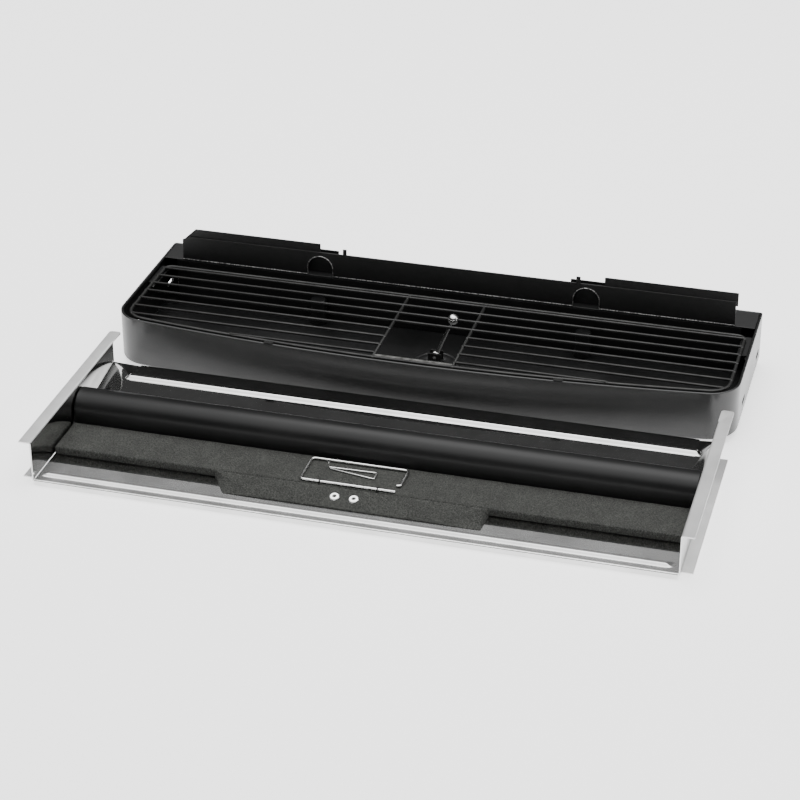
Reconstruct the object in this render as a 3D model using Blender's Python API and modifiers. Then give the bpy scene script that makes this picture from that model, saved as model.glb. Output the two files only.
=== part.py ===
"""A low steel tray on channel rails with a foam and bolster insert, and a black trough with a wire rack.

Metres, +Z up. X runs across the unit, Y from the tray's front edge back to the trough's rear wall.
The origin is on the ground, under the middle of the whole unit.
"""
import math

import bmesh
import bpy
from mathutils import Matrix, Vector

# Whole unit
OVERALL_WIDTH = 0.5668
OVERALL_DEPTH = 0.3785
GAP = 0.0003                     # clearance between two pieces that touch

# Tray and rails
INNER_WIDTH = 0.5450             # between the two rail webs
TRAY_DEPTH = 0.1853
TRAY_SHEET = 0.0010
TRAY_FLOOR = 0.0050              # top of the low floor
DECK_HEIGHT = 0.0224             # top of the raised rear deck
DECK_START = 0.1265
RISER_RUN = 0.0030
FRONT_BEAD = 0.0117              # beads are given by their middle line
REAR_BEAD = 0.1613
FRONT_BEAD_SIZE = (0.0082, 0.0020, 0.2600)   # width, height, half length
REAR_BEAD_SIZE = (0.0100, 0.0026, 0.2470)
BEAD_TAPER = 0.0065
RAIL_SHEET = 0.0012
RAIL_HEIGHT = 0.0406
RAIL_FOOT = 0.0038
RAIL_LENGTH = 0.2074
WEB_LENGTH = 0.1867
FOOT_FLANGE_START = 0.0045

# Insert that lies in the tray
BACKING = 0.0008
FOAM_TOP = 0.0129
PAD_FRONT = 0.0440
PAD_BACK = 0.0882
TONGUE_FRONT = 0.0212
TONGUE_BACK = 0.0437
TONGUE_LIP = 0.0012              # thickness left at the tongue's front edge
TONGUE_TOP_FRONT = (-0.0859, 0.0650)     # left and right ends of the upper face's front edge
TONGUE_FOOT_FRONT = (-0.1128, 0.1075)    # the same for the foot, which spreads wider
TONGUE_REAR = (-0.1272, 0.1093)
BOLSTER_FRONT = 0.0885
BOLSTER_DEPTH = 0.0335
BOLSTER_TOP = 0.0365
BOLSTER_WALL = 0.0020
BOLSTER_CAP = 0.0025
SIDE_PLAY = 0.0010               # free room between the insert and each rail web

# Wire bail and its hairpin, on top of the pad
BAIL_X = -0.0111
BAIL_WIDTH = 0.0843
BAIL_FRONT = 0.0466
BAIL_BACK = 0.0820
BAIL_WIRE = 0.0022
BAIL_CORNER = 0.0040
BAIL_END_GAP = 0.0100
STAPLE_WIRE = 0.0010
STAPLE_SPREAD = 0.0250
STAPLE_REACH = 0.0045            # how far the staples go into the pad
HAIRPIN_WIRE = 0.0012
RIVET_SPACING = 0.0165
RIVET_Y = 0.0332
RIVET_RADIUS = 0.0044
RIVET_DEPTH = 0.0036
RIVET_BORE = 0.0014
RIVET_SHANK = 0.0022

# Trough
TROUGH_FRONT = 0.1970
TROUGH_BOW = 2.05                # radius of the gently bowed front
TROUGH_CORNER = 0.0280
TROUGH_REAR_CORNER = 0.0030
TROUGH_WALL = 0.0020
TROUGH_BASE = 0.0050             # underside of the trough
TROUGH_RIM = 0.0513
TROUGH_FILLET = 0.0120
LEDGE_FRONT = 0.3442
LEDGE_SHEET = 0.0012
SIDE_SLOT = (0.0160, 0.0050)
SIDE_SLOT_Y = (0.2692, 0.3564)
SIDE_SLOT_Z = 0.0190
FOOT_RADIUS = 0.0080
FOOT_PLACES = ((-0.2350, 0.2400), (0.2350, 0.2400), (-0.2500, 0.3500), (0.2500, 0.3500))

# Back plate on the trough's ledge
PLATE_SHEET = 0.0015
PLATE_HALF = 0.2624
PLATE_TOP = 0.0753
ARCH_X = 0.1264
ARCH_RADIUS = 0.01225
ARCH_HEIGHT = 0.0196
TAB_LEFT = (-0.1025, 0.0036, 0.0808)     # place, width, top
TAB_RIGHT = (0.1185, 0.0040, 0.0815)
UPPER_STRIP = (0.0700, 0.0830)           # foot and top of the strips behind the plate
STRIP_LEFT = (-0.2600, -0.1264)
STRIP_RIGHT = (0.1425, 0.2640)
STRIP_CHAMFER = (0.0105, 0.0100)
ARCH_COVER = (0.0162, 0.0752)            # half width and top of the plate behind each arch
ARCH_DEPTH = 0.0055                      # free room between the back plate and that plate
POST_RADIUS = 0.0080
POST_TOP = 0.0312

# Wire rack and what carries it
RACK_INSET = 0.0090
RACK_REAR = 0.3310
RACK_FRAME_WIRE = 0.0032
RACK_WIRE = 0.0025
RACK_Z = 0.0489
RACK_WIRE_RISE = 0.0012
RACK_FIRST_ROW = 0.2132
RACK_PITCH = 0.0159
RACK_ROWS = 8
RACK_OPEN_ROWS = 4               # front rows that stop at the middle opening
RACK_ROD_X = 0.0362
RACK_STRIP = (0.0052, 0.0016)    # depth and thickness of the flat strip across the opening
BRACKET = (0.2980, 0.3340)       # run of each end bracket
BRACKET_SHEET = 0.0012
SCREW_Y = (0.3074, 0.3232)
SCREW_Z = 0.0410
SCREW_HEAD = (0.0034, 0.0024)
SCREW_SHANK = 0.0017
CLIP_X = 0.1310
CLIP_WIDTH = 0.0080
CLIP_SHEET = 0.0008

# Valve lever
LEVER_X = 0.0010
LEVER_Y = 0.2848
LEVER_Z = 0.0155
LEVER_LENGTH = 0.0420
LEVER_LEAN = math.radians(22.4)
LEVER_ARM = 0.0016
HUB_RADIUS = 0.0042
HUB_WIDTH = 0.0050
PIN_RADIUS = 0.0015
KNOB_RADIUS = 0.0052
SEAT_RADIUS = 0.0220
SEAT_HEIGHT = 0.0015

FRONT_Y = -OVERALL_DEPTH / 2

PARTS = bpy.data.collections.new("tray_and_trough_unit")
CUTTERS = bpy.data.collections.new("cutters")


def clear_scene():
    """Remove every object that the scene starts with."""
    for item in list(bpy.data.objects):
        bpy.data.objects.remove(item, do_unlink=True)
    bpy.context.scene.collection.children.link(PARTS)
    bpy.context.scene.collection.children.link(CUTTERS)


def back(distance):
    """Y of a place that lies this far behind the tray's front edge."""
    return FRONT_Y + distance


def finish(name, colour, roughness, metallic):
    """A plain Principled material, made once for each name."""
    known = bpy.data.materials.get(name)
    if known:
        return known
    material = bpy.data.materials.new(name)
    material.use_nodes = True
    shader = material.node_tree.nodes["Principled BSDF"]
    shader.inputs["Base Color"].default_value = (*colour, 1.0)
    shader.inputs["Roughness"].default_value = roughness
    shader.inputs["Metallic"].default_value = metallic
    return material


def polished_steel():
    return finish("polished_steel", (0.78, 0.78, 0.78), 0.12, 1.0)


def satin_steel():
    return finish("satin_steel", (0.70, 0.70, 0.70), 0.35, 1.0)


def bright_wire():
    return finish("bright_wire", (0.85, 0.85, 0.84), 0.18, 1.0)


def black_enamel():
    return finish("black_enamel", (0.010, 0.010, 0.011), 0.25, 0.0)


def rack_wire():
    return finish("rack_wire", (0.10, 0.10, 0.10), 0.30, 0.8)


def black_foam():
    return finish("black_foam", (0.018, 0.018, 0.019), 0.95, 0.0)


def black_plastic():
    return finish("black_plastic", (0.012, 0.012, 0.012), 0.35, 0.0)


def black_rubber():
    return finish("black_rubber", (0.02, 0.02, 0.02), 0.80, 0.0)


def place(name, mesh, material, group=PARTS):
    """Make an object for a mesh, with its material, in a collection."""
    item = bpy.data.objects.new(name, mesh)
    mesh.materials.append(material)
    group.objects.link(item)
    return item


def mesh_from(bm, name):
    mesh = bpy.data.meshes.new(name)
    bm.to_mesh(mesh)
    bm.free()
    return mesh


def box(name, low, high, material, group=PARTS):
    """A block between two corners."""
    low, high = Vector(low), Vector(high)
    bm = bmesh.new()
    bmesh.ops.create_cube(bm, size=1.0)
    bmesh.ops.scale(bm, vec=high - low, verts=bm.verts)
    bmesh.ops.translate(bm, vec=(low + high) / 2, verts=bm.verts)
    return place(name, mesh_from(bm, name), material, group)


def cylinder(name, radius, start, end, material, sides=24, group=PARTS):
    """A round bar between two points."""
    start, end = Vector(start), Vector(end)
    axis = end - start
    turn = axis.to_track_quat("Z", "Y").to_matrix().to_4x4()
    bm = bmesh.new()
    bmesh.ops.create_cone(bm, cap_ends=True, segments=sides, radius1=radius, radius2=radius,
                          depth=axis.length, matrix=Matrix.Translation((start + end) / 2) @ turn)
    return place(name, mesh_from(bm, name), material, group)


def extruded(name, outline, direction, material, group=PARTS):
    """A closed flat outline pulled along a direction into a solid."""
    bm = bmesh.new()
    face = bm.faces.new([bm.verts.new(point) for point in outline])
    pulled = bmesh.ops.extrude_face_region(bm, geom=[face])
    moved = [part for part in pulled["geom"] if isinstance(part, bmesh.types.BMVert)]
    bmesh.ops.translate(bm, vec=direction, verts=moved)
    bmesh.ops.recalc_face_normals(bm, faces=bm.faces)
    return place(name, mesh_from(bm, name), material, group)


def folded_sheet(name, profile, low_x, high_x, thickness, material):
    """A sheet folded along X: an open line of (distance back, height), given its thickness behind it."""
    bm = bmesh.new()
    corners = [bm.verts.new((low_x, back(y), z)) for y, z in profile]
    edges = [bm.edges.new(pair) for pair in zip(corners, corners[1:])]
    pulled = bmesh.ops.extrude_edge_only(bm, edges=edges)
    moved = [part for part in pulled["geom"] if isinstance(part, bmesh.types.BMVert)]
    bmesh.ops.translate(bm, vec=(high_x - low_x, 0, 0), verts=moved)
    face_upwards(bm)
    item = place(name, mesh_from(bm, name), material)
    thicken(item, thickness)
    return item


def face_upwards(bm):
    """Turn an open sheet so that its most level face looks up."""
    bmesh.ops.recalc_face_normals(bm, faces=bm.faces)
    bm.normal_update()
    level = max(bm.faces, key=lambda face: abs(face.normal.z))
    if level.normal.z < 0:
        bmesh.ops.reverse_faces(bm, faces=bm.faces)


def thicken(item, thickness):
    shell = item.modifiers.new("wall", "SOLIDIFY")
    shell.thickness = thickness
    shell.offset = -1.0
    shell.use_even_offset = True


def arc(centre, radius, start, end, steps):
    """Points on a circular arc, angles in degrees."""
    points = []
    for step in range(steps + 1):
        angle = math.radians(start + (end - start) * step / steps)
        points.append((centre[0] + radius * math.cos(angle), centre[1] + radius * math.sin(angle)))
    return points


def rounded_path(corners, radius, steps, closed=False):
    """A path through flat corners, each rounded by an arc-like curve of the given radius."""
    path = []
    count = len(corners)
    for index, corner in enumerate(corners):
        if not closed and index in (0, count - 1):
            path.append(Vector(corner))
            continue
        here = Vector(corner)
        before = (Vector(corners[index - 1]) - here).normalized() * radius
        after = (Vector(corners[(index + 1) % count]) - here).normalized() * radius
        for step in range(steps + 1):
            share = step / steps
            path.append(here + before * (1 - share) ** 2 + after * share ** 2)
    return path


def wire(name, path, diameter, material, closed=False, sides=8):
    """A round wire along a path of points."""
    curve = bpy.data.curves.new(name, "CURVE")
    curve.dimensions = "3D"
    curve.bevel_depth = diameter / 2
    curve.bevel_resolution = sides // 2 - 2
    curve.use_fill_caps = True
    spline = curve.splines.new("POLY")
    spline.points.add(len(path) - 1)
    for knot, point in zip(spline.points, path):
        knot.co = (*point, 1.0)
    spline.use_cyclic_u = closed
    item = bpy.data.objects.new(name, curve)
    curve.materials.append(material)
    PARTS.objects.link(item)
    return item


def as_mesh(item):
    """Replace a wire by a mesh with its caps welded, so that it can be joined or cut."""
    bpy.context.view_layer.update()
    evaluated = item.evaluated_get(bpy.context.evaluated_depsgraph_get())
    mesh = bpy.data.meshes.new_from_object(evaluated)
    bm = bmesh.new()
    bm.from_mesh(mesh)
    bmesh.ops.remove_doubles(bm, verts=bm.verts, dist=0.000001)
    bmesh.ops.recalc_face_normals(bm, faces=bm.faces)
    bm.to_mesh(mesh)
    bm.free()
    name = item.name
    new = bpy.data.objects.new(name + "_solid", mesh)
    new.matrix_world = item.matrix_world
    bpy.data.objects.remove(item, do_unlink=True)
    new.name = name
    PARTS.objects.link(new)
    return new


def turned(name, profile, material, sides=24):
    """A turned piece: a closed line of (radius, height) swept round Z."""
    bm = bmesh.new()
    corners = [bm.verts.new((radius, 0, height)) for radius, height in profile]
    for index, corner in enumerate(corners):
        bm.edges.new((corner, corners[(index + 1) % len(corners)]))
    item = place(name, mesh_from(bm, name), material)
    sweep = item.modifiers.new("turn", "SCREW")
    sweep.steps = sides
    sweep.render_steps = sides
    sweep.use_normal_flip = True
    sweep.use_merge_vertices = True
    sweep.merge_threshold = 0.00001
    return item


def boolean(target, other, operation):
    step = target.modifiers.new(other.name, "BOOLEAN")
    step.operation = operation
    step.solver = "EXACT"
    step.object = other
    other.hide_render = True
    other.display_type = "WIRE"
    if other.name in PARTS.objects:
        PARTS.objects.unlink(other)
        CUTTERS.objects.link(other)


def bead_height(x, distance, size, middle):
    """Height of a rounded stiffening bead that fades out at its two ends."""
    width, height, half_length = size
    across = min(1.0, abs(distance - middle) / (width / 2))
    along = min(1.0, max(0.0, (half_length + BEAD_TAPER - abs(x)) / BEAD_TAPER))
    return height * along * math.cos(across * math.pi / 2) ** 2


def tray_profile():
    """The tray's fold line from front to back, as (distance back, height) of its upper face."""
    bead_steps = (-1.0, -0.6, -0.25, 0.25, 0.6, 1.0)
    line = [(0.0, 0.0), (0.0, TRAY_FLOOR - 0.0008), (0.0008, TRAY_FLOOR)]
    line += [(FRONT_BEAD + share * FRONT_BEAD_SIZE[0] / 2, TRAY_FLOOR) for share in bead_steps]
    line += [(DECK_START - RISER_RUN, TRAY_FLOOR), (DECK_START, DECK_HEIGHT)]
    line += [(REAR_BEAD + share * REAR_BEAD_SIZE[0] / 2, DECK_HEIGHT) for share in bead_steps]
    line += [(TRAY_DEPTH - 0.0008, DECK_HEIGHT), (TRAY_DEPTH, DECK_HEIGHT - 0.0008), (TRAY_DEPTH, 0.0)]
    return line


def make_tray_floor():
    """One folded sheet: front lip, low floor, raised rear deck and rear lip, with two beads."""
    half = INNER_WIDTH / 2 - GAP
    ends = [FRONT_BEAD_SIZE[2], REAR_BEAD_SIZE[2]]
    stations = [0.0, half] + [end + share * BEAD_TAPER for end in ends for share in (0.0, 0.5, 1.0)]
    stations = sorted(set(stations + [-x for x in stations]))
    line = tray_profile()
    bm = bmesh.new()
    bmesh.ops.create_grid(bm, x_segments=len(stations) - 1, y_segments=len(line) - 1, size=1.0)
    for corner in bm.verts:
        column = round((corner.co.x + 1) / 2 * (len(stations) - 1))
        row = round((corner.co.y + 1) / 2 * (len(line) - 1))
        x = stations[column]
        distance, height = line[row]
        if 0.001 < distance < TRAY_DEPTH - 0.001:
            height += bead_height(x, distance, FRONT_BEAD_SIZE, FRONT_BEAD)
            height += bead_height(x, distance, REAR_BEAD_SIZE, REAR_BEAD)
        corner.co = (x, back(distance), height)
    face_upwards(bm)
    sheet = place("tray_floor", mesh_from(bm, "tray_floor"), polished_steel())
    thicken(sheet, TRAY_SHEET)


def make_rail(name, side):
    """A channel rail that opens outwards; its top flange runs on past the web."""
    web = INNER_WIDTH / 2
    outer = OVERALL_WIDTH / 2
    bottom, top, wall = RAIL_FOOT, RAIL_HEIGHT, RAIL_SHEET
    section = [(web, bottom), (outer, bottom), (outer, bottom + wall), (web + wall, bottom + wall),
               (web + wall, top - wall), (outer, top - wall), (outer, top), (web, top)]
    outline = [(side * x, back(0), z) for x, z in section]
    rail = extruded(name, outline, (0, RAIL_LENGTH, 0), satin_steel())
    spare = 0.01
    rear_low = (side * (web + outer) / 2 - spare, back(WEB_LENGTH), bottom - spare)
    rear_high = (side * (web + outer) / 2 + spare, back(RAIL_LENGTH + spare), top - wall)
    boolean(rail, box(name + "_rear_cut", rear_low, rear_high, satin_steel(), CUTTERS), "DIFFERENCE")
    front_low = (side * (web + outer) / 2 - spare, back(-spare), bottom - spare)
    front_high = (side * (web + outer) / 2 + spare, back(FOOT_FLANGE_START), bottom + wall)
    boolean(rail, box(name + "_front_cut", front_low, front_high, satin_steel(), CUTTERS), "DIFFERENCE")


def tongue_corners(height, front_ends):
    """The tongue's four plan corners at one height, front left first."""
    left, right = front_ends
    return [(left, back(TONGUE_FRONT), height),
            (right, back(TONGUE_FRONT), height),
            (TONGUE_REAR[1], back(TONGUE_BACK), height),
            (TONGUE_REAR[0], back(TONGUE_BACK), height)]


def tongue_slope():
    """Angle of the tongue's upper face, which falls towards the front."""
    fall = FOAM_TOP - (TRAY_FLOOR + GAP + TONGUE_LIP)
    return math.atan2(fall, TONGUE_BACK - TONGUE_FRONT)


def make_backing():
    """Thin plate that the pad and the bolster are glued to."""
    half = INNER_WIDTH / 2 - SIDE_PLAY - 0.003
    base = TRAY_FLOOR + GAP
    low = (-half, back(PAD_FRONT + 0.0015), base)
    high = (half, back(BOLSTER_FRONT + BOLSTER_DEPTH - 0.0005), base + BACKING)
    box("insert_backing", low, high, satin_steel())


def make_foam():
    """The pad across the tray and the sloped tongue in front of it."""
    base = TRAY_FLOOR + GAP + BACKING + GAP
    half = INNER_WIDTH / 2 - SIDE_PLAY
    pad = box("foam_pad", (-half, back(PAD_FRONT), base), (half, back(PAD_BACK), FOAM_TOP), black_foam())
    for side in (-1, 1):
        middle = Vector((BAIL_X + side * STAPLE_SPREAD, back(BAIL_FRONT), FOAM_TOP))
        reach = Vector((0.0012, BAIL_WIRE / 2 + STAPLE_WIRE + 0.0012, STAPLE_REACH + 0.0010))
        boolean(pad, box("staple_pocket", middle - reach, middle + reach, black_foam(), CUTTERS), "DIFFERENCE")
    tongue = make_tongue_block()
    for index, x in enumerate(rivet_places()):
        hole = cylinder("rivet_hole", RIVET_SHANK + GAP, (x, back(RIVET_Y), -0.03), (x, back(RIVET_Y), 0.03),
                        black_foam(), 20, CUTTERS)
        settle_on_slope(hole, x)
        boolean(tongue, hole, "DIFFERENCE")


def make_tongue_block():
    """Wedge that falls to a thin front edge; its ends spread outwards towards the foot."""
    base = TRAY_FLOOR + GAP
    lower = tongue_corners(base, TONGUE_FOOT_FRONT)
    upper = tongue_corners(FOAM_TOP, TONGUE_TOP_FRONT)
    lip = base + TONGUE_LIP
    upper[0] = (*upper[0][:2], lip)
    upper[1] = (*upper[1][:2], lip)
    bm = bmesh.new()
    bottom = [bm.verts.new(corner) for corner in lower]
    top = [bm.verts.new(corner) for corner in upper]
    bm.faces.new(bottom[::-1])
    bm.faces.new(top)
    for index in range(4):
        after = (index + 1) % 4
        bm.faces.new([bottom[index], bottom[after], top[after], top[index]])
    return place("foam_tongue", mesh_from(bm, "foam_tongue"), black_foam())


def rivet_places():
    return [BAIL_X + side * RIVET_SPACING / 2 for side in (-1, 1)]


def slope_height(distance):
    """Height of the tongue's upper face at a distance from the tray's front edge."""
    lip = TRAY_FLOOR + GAP + TONGUE_LIP
    return lip + (distance - TONGUE_FRONT) * math.tan(tongue_slope())


def settle_on_slope(item, x):
    """Turn an upright piece made at its own origin or place square to the tongue's upper face."""
    spot = Vector((x, back(RIVET_Y), slope_height(RIVET_Y)))
    turn = Matrix.Rotation(tongue_slope(), 4, "X")
    if item.name.startswith("rivet_hole"):
        item.data.transform(Matrix.Translation(spot) @ turn @ Matrix.Translation((-x, -back(RIVET_Y), 0)))
    else:
        item.matrix_world = Matrix.Translation(spot) @ turn


def make_rivets():
    """Hollow rivets: a broad flange on the foam and a short tube into it."""
    flange = 0.0009
    for side, x in zip(("left", "right"), rivet_places()):
        profile = [(RIVET_BORE, GAP + flange), (RIVET_BORE, -RIVET_DEPTH), (RIVET_SHANK, -RIVET_DEPTH),
                   (RIVET_SHANK, GAP), (RIVET_RADIUS, GAP), (RIVET_RADIUS, GAP + flange * 0.5),
                   (RIVET_RADIUS - 0.0008, GAP + flange)]
        rivet = turned("rivet_" + side, profile, bright_wire(), 20)
        settle_on_slope(rivet, x)


def bolster_profile(inset):
    """Cross-section of the bolster from its front foot over the top to its rear foot."""
    front, rear = BOLSTER_FRONT + inset, BOLSTER_FRONT + BOLSTER_DEPTH - inset
    top = BOLSTER_TOP - inset
    foot = TRAY_FLOOR + GAP + BACKING + GAP
    radius = 0.0150 - inset
    line = [(front, foot)]
    line += arc((front + 0.0015 + radius, top - radius), radius, 180, 90, 6)
    line += arc((rear - radius - 0.0015, top - radius), radius, 90, 0, 6)
    line += [(rear, foot)]
    return line


def make_bolster():
    """Black moulding with a rounded top, closed by a cap at each end."""
    half = INNER_WIDTH / 2 - SIDE_PLAY - BOLSTER_CAP
    folded_sheet("bolster_shell", bolster_profile(0.0), -half + GAP, half - GAP, BOLSTER_WALL, black_plastic())
    for side, sign in (("left", -1), ("right", 1)):
        outline = [(sign * half, back(y), z) for y, z in bolster_profile(0.0)]
        extruded("bolster_cap_" + side, outline, (sign * BOLSTER_CAP, 0, 0), black_plastic())


def make_bail():
    """Rectangular wire loop with one open corner; it hinges about its front leg."""
    left, right = BAIL_X - BAIL_WIDTH / 2, BAIL_X + BAIL_WIDTH / 2
    front, rear = back(BAIL_FRONT), back(BAIL_BACK)
    height = FOAM_TOP + GAP + BAIL_WIRE / 2
    corners = [(right - 0.0034, front + BAIL_END_GAP, height), (right, front + BAIL_END_GAP, height),
               (right, rear, height), (left, rear, height), (left, front, height),
               (right - 0.0020, front, height)]
    path = [Vector(corners[0])]
    path += rounded_path(corners[0:3], 0.0016, 3)[1:-1]
    path += rounded_path(corners[1:5], BAIL_CORNER, 4)[1:-1]
    path += rounded_path(corners[3:6], BAIL_CORNER, 4)[1:]
    bail = as_mesh(wire("bail", path, BAIL_WIRE, bright_wire()))
    pivot = Vector((BAIL_X, front, height))
    bail.data.transform(Matrix.Translation(-pivot))
    bail.matrix_world = Matrix.Translation(pivot)


def make_staples():
    """Two small wire staples that hold the bail's front leg down to the pad."""
    height = FOAM_TOP + GAP + BAIL_WIRE / 2
    reach = BAIL_WIRE / 2 + GAP + STAPLE_WIRE / 2
    for name, side in (("bail_staple_left", -1), ("bail_staple_right", 1)):
        x = BAIL_X + side * STAPLE_SPREAD
        crown = [(x, back(BAIL_FRONT) + y, height + z) for y, z in arc((0, 0), reach, 180, 0, 8)]
        foot = FOAM_TOP - STAPLE_REACH
        path = [(x, crown[0][1], foot)] + crown + [(x, crown[-1][1], foot)]
        wire(name, path, STAPLE_WIRE, bright_wire())


def make_hairpin():
    """Narrow spring-wire loop that lies inside the bail, with one end turned up."""
    height = FOAM_TOP + GAP + HAIRPIN_WIRE / 2
    apex = Vector((-0.0355, back(0.0714), height))
    far = Vector((0.0062, back(0.0724), height))
    near = Vector((0.0062, back(0.0624), height))
    end = Vector((-0.0336, back(0.0694), height))
    path = rounded_path([apex + Vector((0, 0, 0.0050)), apex, far], 0.0012, 3)[:-1]
    path += rounded_path([apex, far, near, end], 0.0016, 3)[1:]
    wire("hairpin", path, HAIRPIN_WIRE, bright_wire())


def trough_outline(inset=0.0):
    """Plan of the trough, from the front left round to the rear left: bowed front, round corners."""
    half = OVERALL_WIDTH / 2 - inset
    bow = TROUGH_BOW - inset
    centre = TROUGH_FRONT + TROUGH_BOW
    radius = TROUGH_CORNER - inset
    rise = math.sqrt((bow - radius) ** 2 - (half - radius) ** 2)
    spread = math.degrees(math.asin((half - radius) / (bow - radius)))
    rear = OVERALL_DEPTH - inset
    small = max(TROUGH_REAR_CORNER - inset, 0.0005)
    line = arc((-(half - radius), centre - rise), radius, 180, 270 - spread, 6)
    line += arc((0, centre), bow, 270 - spread, 270 + spread, 14)[1:-1]
    line += arc((half - radius, centre - rise), radius, 270 + spread, 360, 6)
    line += arc((half - small, rear - small), small, 0, 90, 2)
    line += arc((-(half - small), rear - small), small, 90, 180, 2)
    return line


def make_trough_shell():
    """Deep open pan with a rounded bottom edge, slots in its ends and holes for the end screws."""
    bm = bmesh.new()
    base = bm.faces.new([bm.verts.new((x, back(y), TROUGH_BASE)) for x, y in trough_outline()])
    pulled = bmesh.ops.extrude_edge_only(bm, edges=list(base.edges))
    moved = [part for part in pulled["geom"] if isinstance(part, bmesh.types.BMVert)]
    bmesh.ops.translate(bm, vec=(0, 0, TROUGH_RIM - TROUGH_BASE), verts=moved)
    bmesh.ops.recalc_face_normals(bm, faces=bm.faces)
    if base.normal.z > 0:
        bmesh.ops.reverse_faces(bm, faces=bm.faces)
    bmesh.ops.bevel(bm, geom=list(base.edges), offset=TROUGH_FILLET, segments=3, profile=0.5,
                    affect="EDGES", material=-1, clamp_overlap=True)
    bmesh.ops.remove_doubles(bm, verts=bm.verts, dist=0.000001)
    shell = place("trough_shell", mesh_from(bm, "trough_shell"), black_enamel())
    thicken(shell, TROUGH_WALL)
    wall = OVERALL_WIDTH / 2
    for side in (-1, 1):
        for y in SIDE_SLOT_Y:
            reach = Vector((0.006, SIDE_SLOT[0] / 2, SIDE_SLOT[1] / 2))
            middle = Vector((side * wall, back(y), SIDE_SLOT_Z))
            cutter = box("side_slot", middle - reach, middle + reach, black_enamel(), CUTTERS)
            boolean(shell, cutter, "DIFFERENCE")
        for y in SCREW_Y:
            hole = cylinder("screw_hole", SCREW_SHANK + GAP, (side * (wall - 0.006), back(y), SCREW_Z),
                            (side * (wall + 0.006), back(y), SCREW_Z), black_enamel(), 12, CUTTERS)
            boolean(shell, hole, "DIFFERENCE")


def make_ledge():
    """Flat top behind the rack, and the upright wall under its front edge."""
    half = OVERALL_WIDTH / 2 - TROUGH_WALL - 2 * GAP
    rear = OVERALL_DEPTH - TROUGH_WALL - 2 * GAP
    low_x, high_x = -half, half
    box("rear_ledge", (low_x, back(LEDGE_FRONT), TROUGH_RIM - LEDGE_SHEET),
        (high_x, back(rear), TROUGH_RIM), black_enamel())
    reach = half - TROUGH_FILLET
    front = LEDGE_FRONT + GAP
    box("rear_wall", (-reach, back(front), TROUGH_BASE + TROUGH_WALL + GAP),
        (reach, back(front + LEDGE_SHEET), TROUGH_RIM - LEDGE_SHEET - GAP), black_enamel())


def plate_outline():
    """Front view of the back plate: two arches from below and two tabs on top, as (x, z)."""
    foot = TROUGH_RIM + GAP
    spring = foot + ARCH_HEIGHT - ARCH_RADIUS
    line = [(-PLATE_HALF, foot)]
    for middle in (-ARCH_X, ARCH_X):
        line += [(middle - ARCH_RADIUS, foot)]
        line += arc((middle, spring), ARCH_RADIUS, 180, 0, 12)
        line += [(middle + ARCH_RADIUS, foot)]
    line += [(PLATE_HALF, foot), (PLATE_HALF, PLATE_TOP)]
    for middle, width, top in (TAB_RIGHT, TAB_LEFT):
        line += [(middle + width / 2, PLATE_TOP), (middle + width / 2, top)]
        line += [(middle - width / 2, top), (middle - width / 2, PLATE_TOP)]
    line += [(-PLATE_HALF + 0.0070, PLATE_TOP), (-PLATE_HALF, PLATE_TOP - 0.0035)]
    return line


def make_back_plate():
    """Upright plate on the ledge, with a cover behind each arch."""
    front = LEDGE_FRONT + GAP
    outline = [(x, back(front), z) for x, z in plate_outline()]
    extruded("back_plate", outline, (0, PLATE_SHEET, 0), black_enamel())
    rear = back(front + PLATE_SHEET + ARCH_DEPTH)
    half, top = ARCH_COVER
    foot = TROUGH_RIM + GAP
    for side, sign in (("left", -1), ("right", 1)):
        low = (sign * ARCH_X - half, rear, foot)
        box("arch_cover_" + side, low, (sign * ARCH_X + half, rear + 0.0012, top), black_enamel())


def make_upper_strips():
    """Upright strips behind the plate that rise above it, with their outer corners cut off."""
    rear = back(LEDGE_FRONT + GAP + PLATE_SHEET + GAP)
    foot, top = UPPER_STRIP
    across, down = STRIP_CHAMFER
    left, right = STRIP_LEFT
    outline = [(left, rear, foot), (right, rear, foot), (right, rear, top),
               (left + across, rear, top), (left, rear, top - down)]
    extruded("upper_strip_left", outline, (0, LEDGE_SHEET, 0), black_enamel())
    left, right = STRIP_RIGHT
    outline = [(left, rear, foot), (right, rear, foot), (right, rear, top), (left, rear, top)]
    extruded("upper_strip_right", outline, (0, LEDGE_SHEET, 0), black_enamel())


def make_posts():
    """Round posts that stand against the rear wall, below the arches."""
    floor = TROUGH_BASE + TROUGH_WALL + GAP
    for side, sign in (("left", -1), ("right", 1)):
        spot = (sign * ARCH_X, back(LEDGE_FRONT - POST_RADIUS))
        cylinder("post_" + side, POST_RADIUS, (*spot, floor), (*spot, POST_TOP), black_enamel())


def make_feet():
    names = ("foot_front_left", "foot_front_right", "foot_rear_left", "foot_rear_right")
    for name, (x, y) in zip(names, FOOT_PLACES):
        cylinder(name, FOOT_RADIUS, (x, back(y), 0), (x, back(y), TROUGH_BASE - GAP), black_rubber(), 20)


def rack_outline():
    """Plan of the rack's frame wire: it follows the trough's front and stops short of the ledge."""
    inner = [(x, y) for x, y in trough_outline(RACK_INSET) if y < RACK_REAR - 0.01]
    half = OVERALL_WIDTH / 2 - RACK_INSET
    corner = 0.0060
    line = inner
    line += arc((half - corner, RACK_REAR - corner), corner, 0, 90, 3)
    line += arc((-(half - corner), RACK_REAR - corner), corner, 90, 180, 3)
    return [(x, back(y), RACK_Z) for x, y in line]


def rack_edge_x(distance):
    """Half width of the rack's frame at a distance back, on the frame wire's centre line."""
    half = OVERALL_WIDTH / 2 - RACK_INSET
    radius = TROUGH_CORNER - RACK_INSET
    bow = TROUGH_BOW - RACK_INSET
    centre_y = TROUGH_FRONT + TROUGH_BOW - math.sqrt((bow - radius) ** 2 - (half - radius) ** 2)
    drop = max(0.0, centre_y - distance)
    if drop < radius:
        return half - radius + math.sqrt(radius ** 2 - drop ** 2)
    return 0.0


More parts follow.
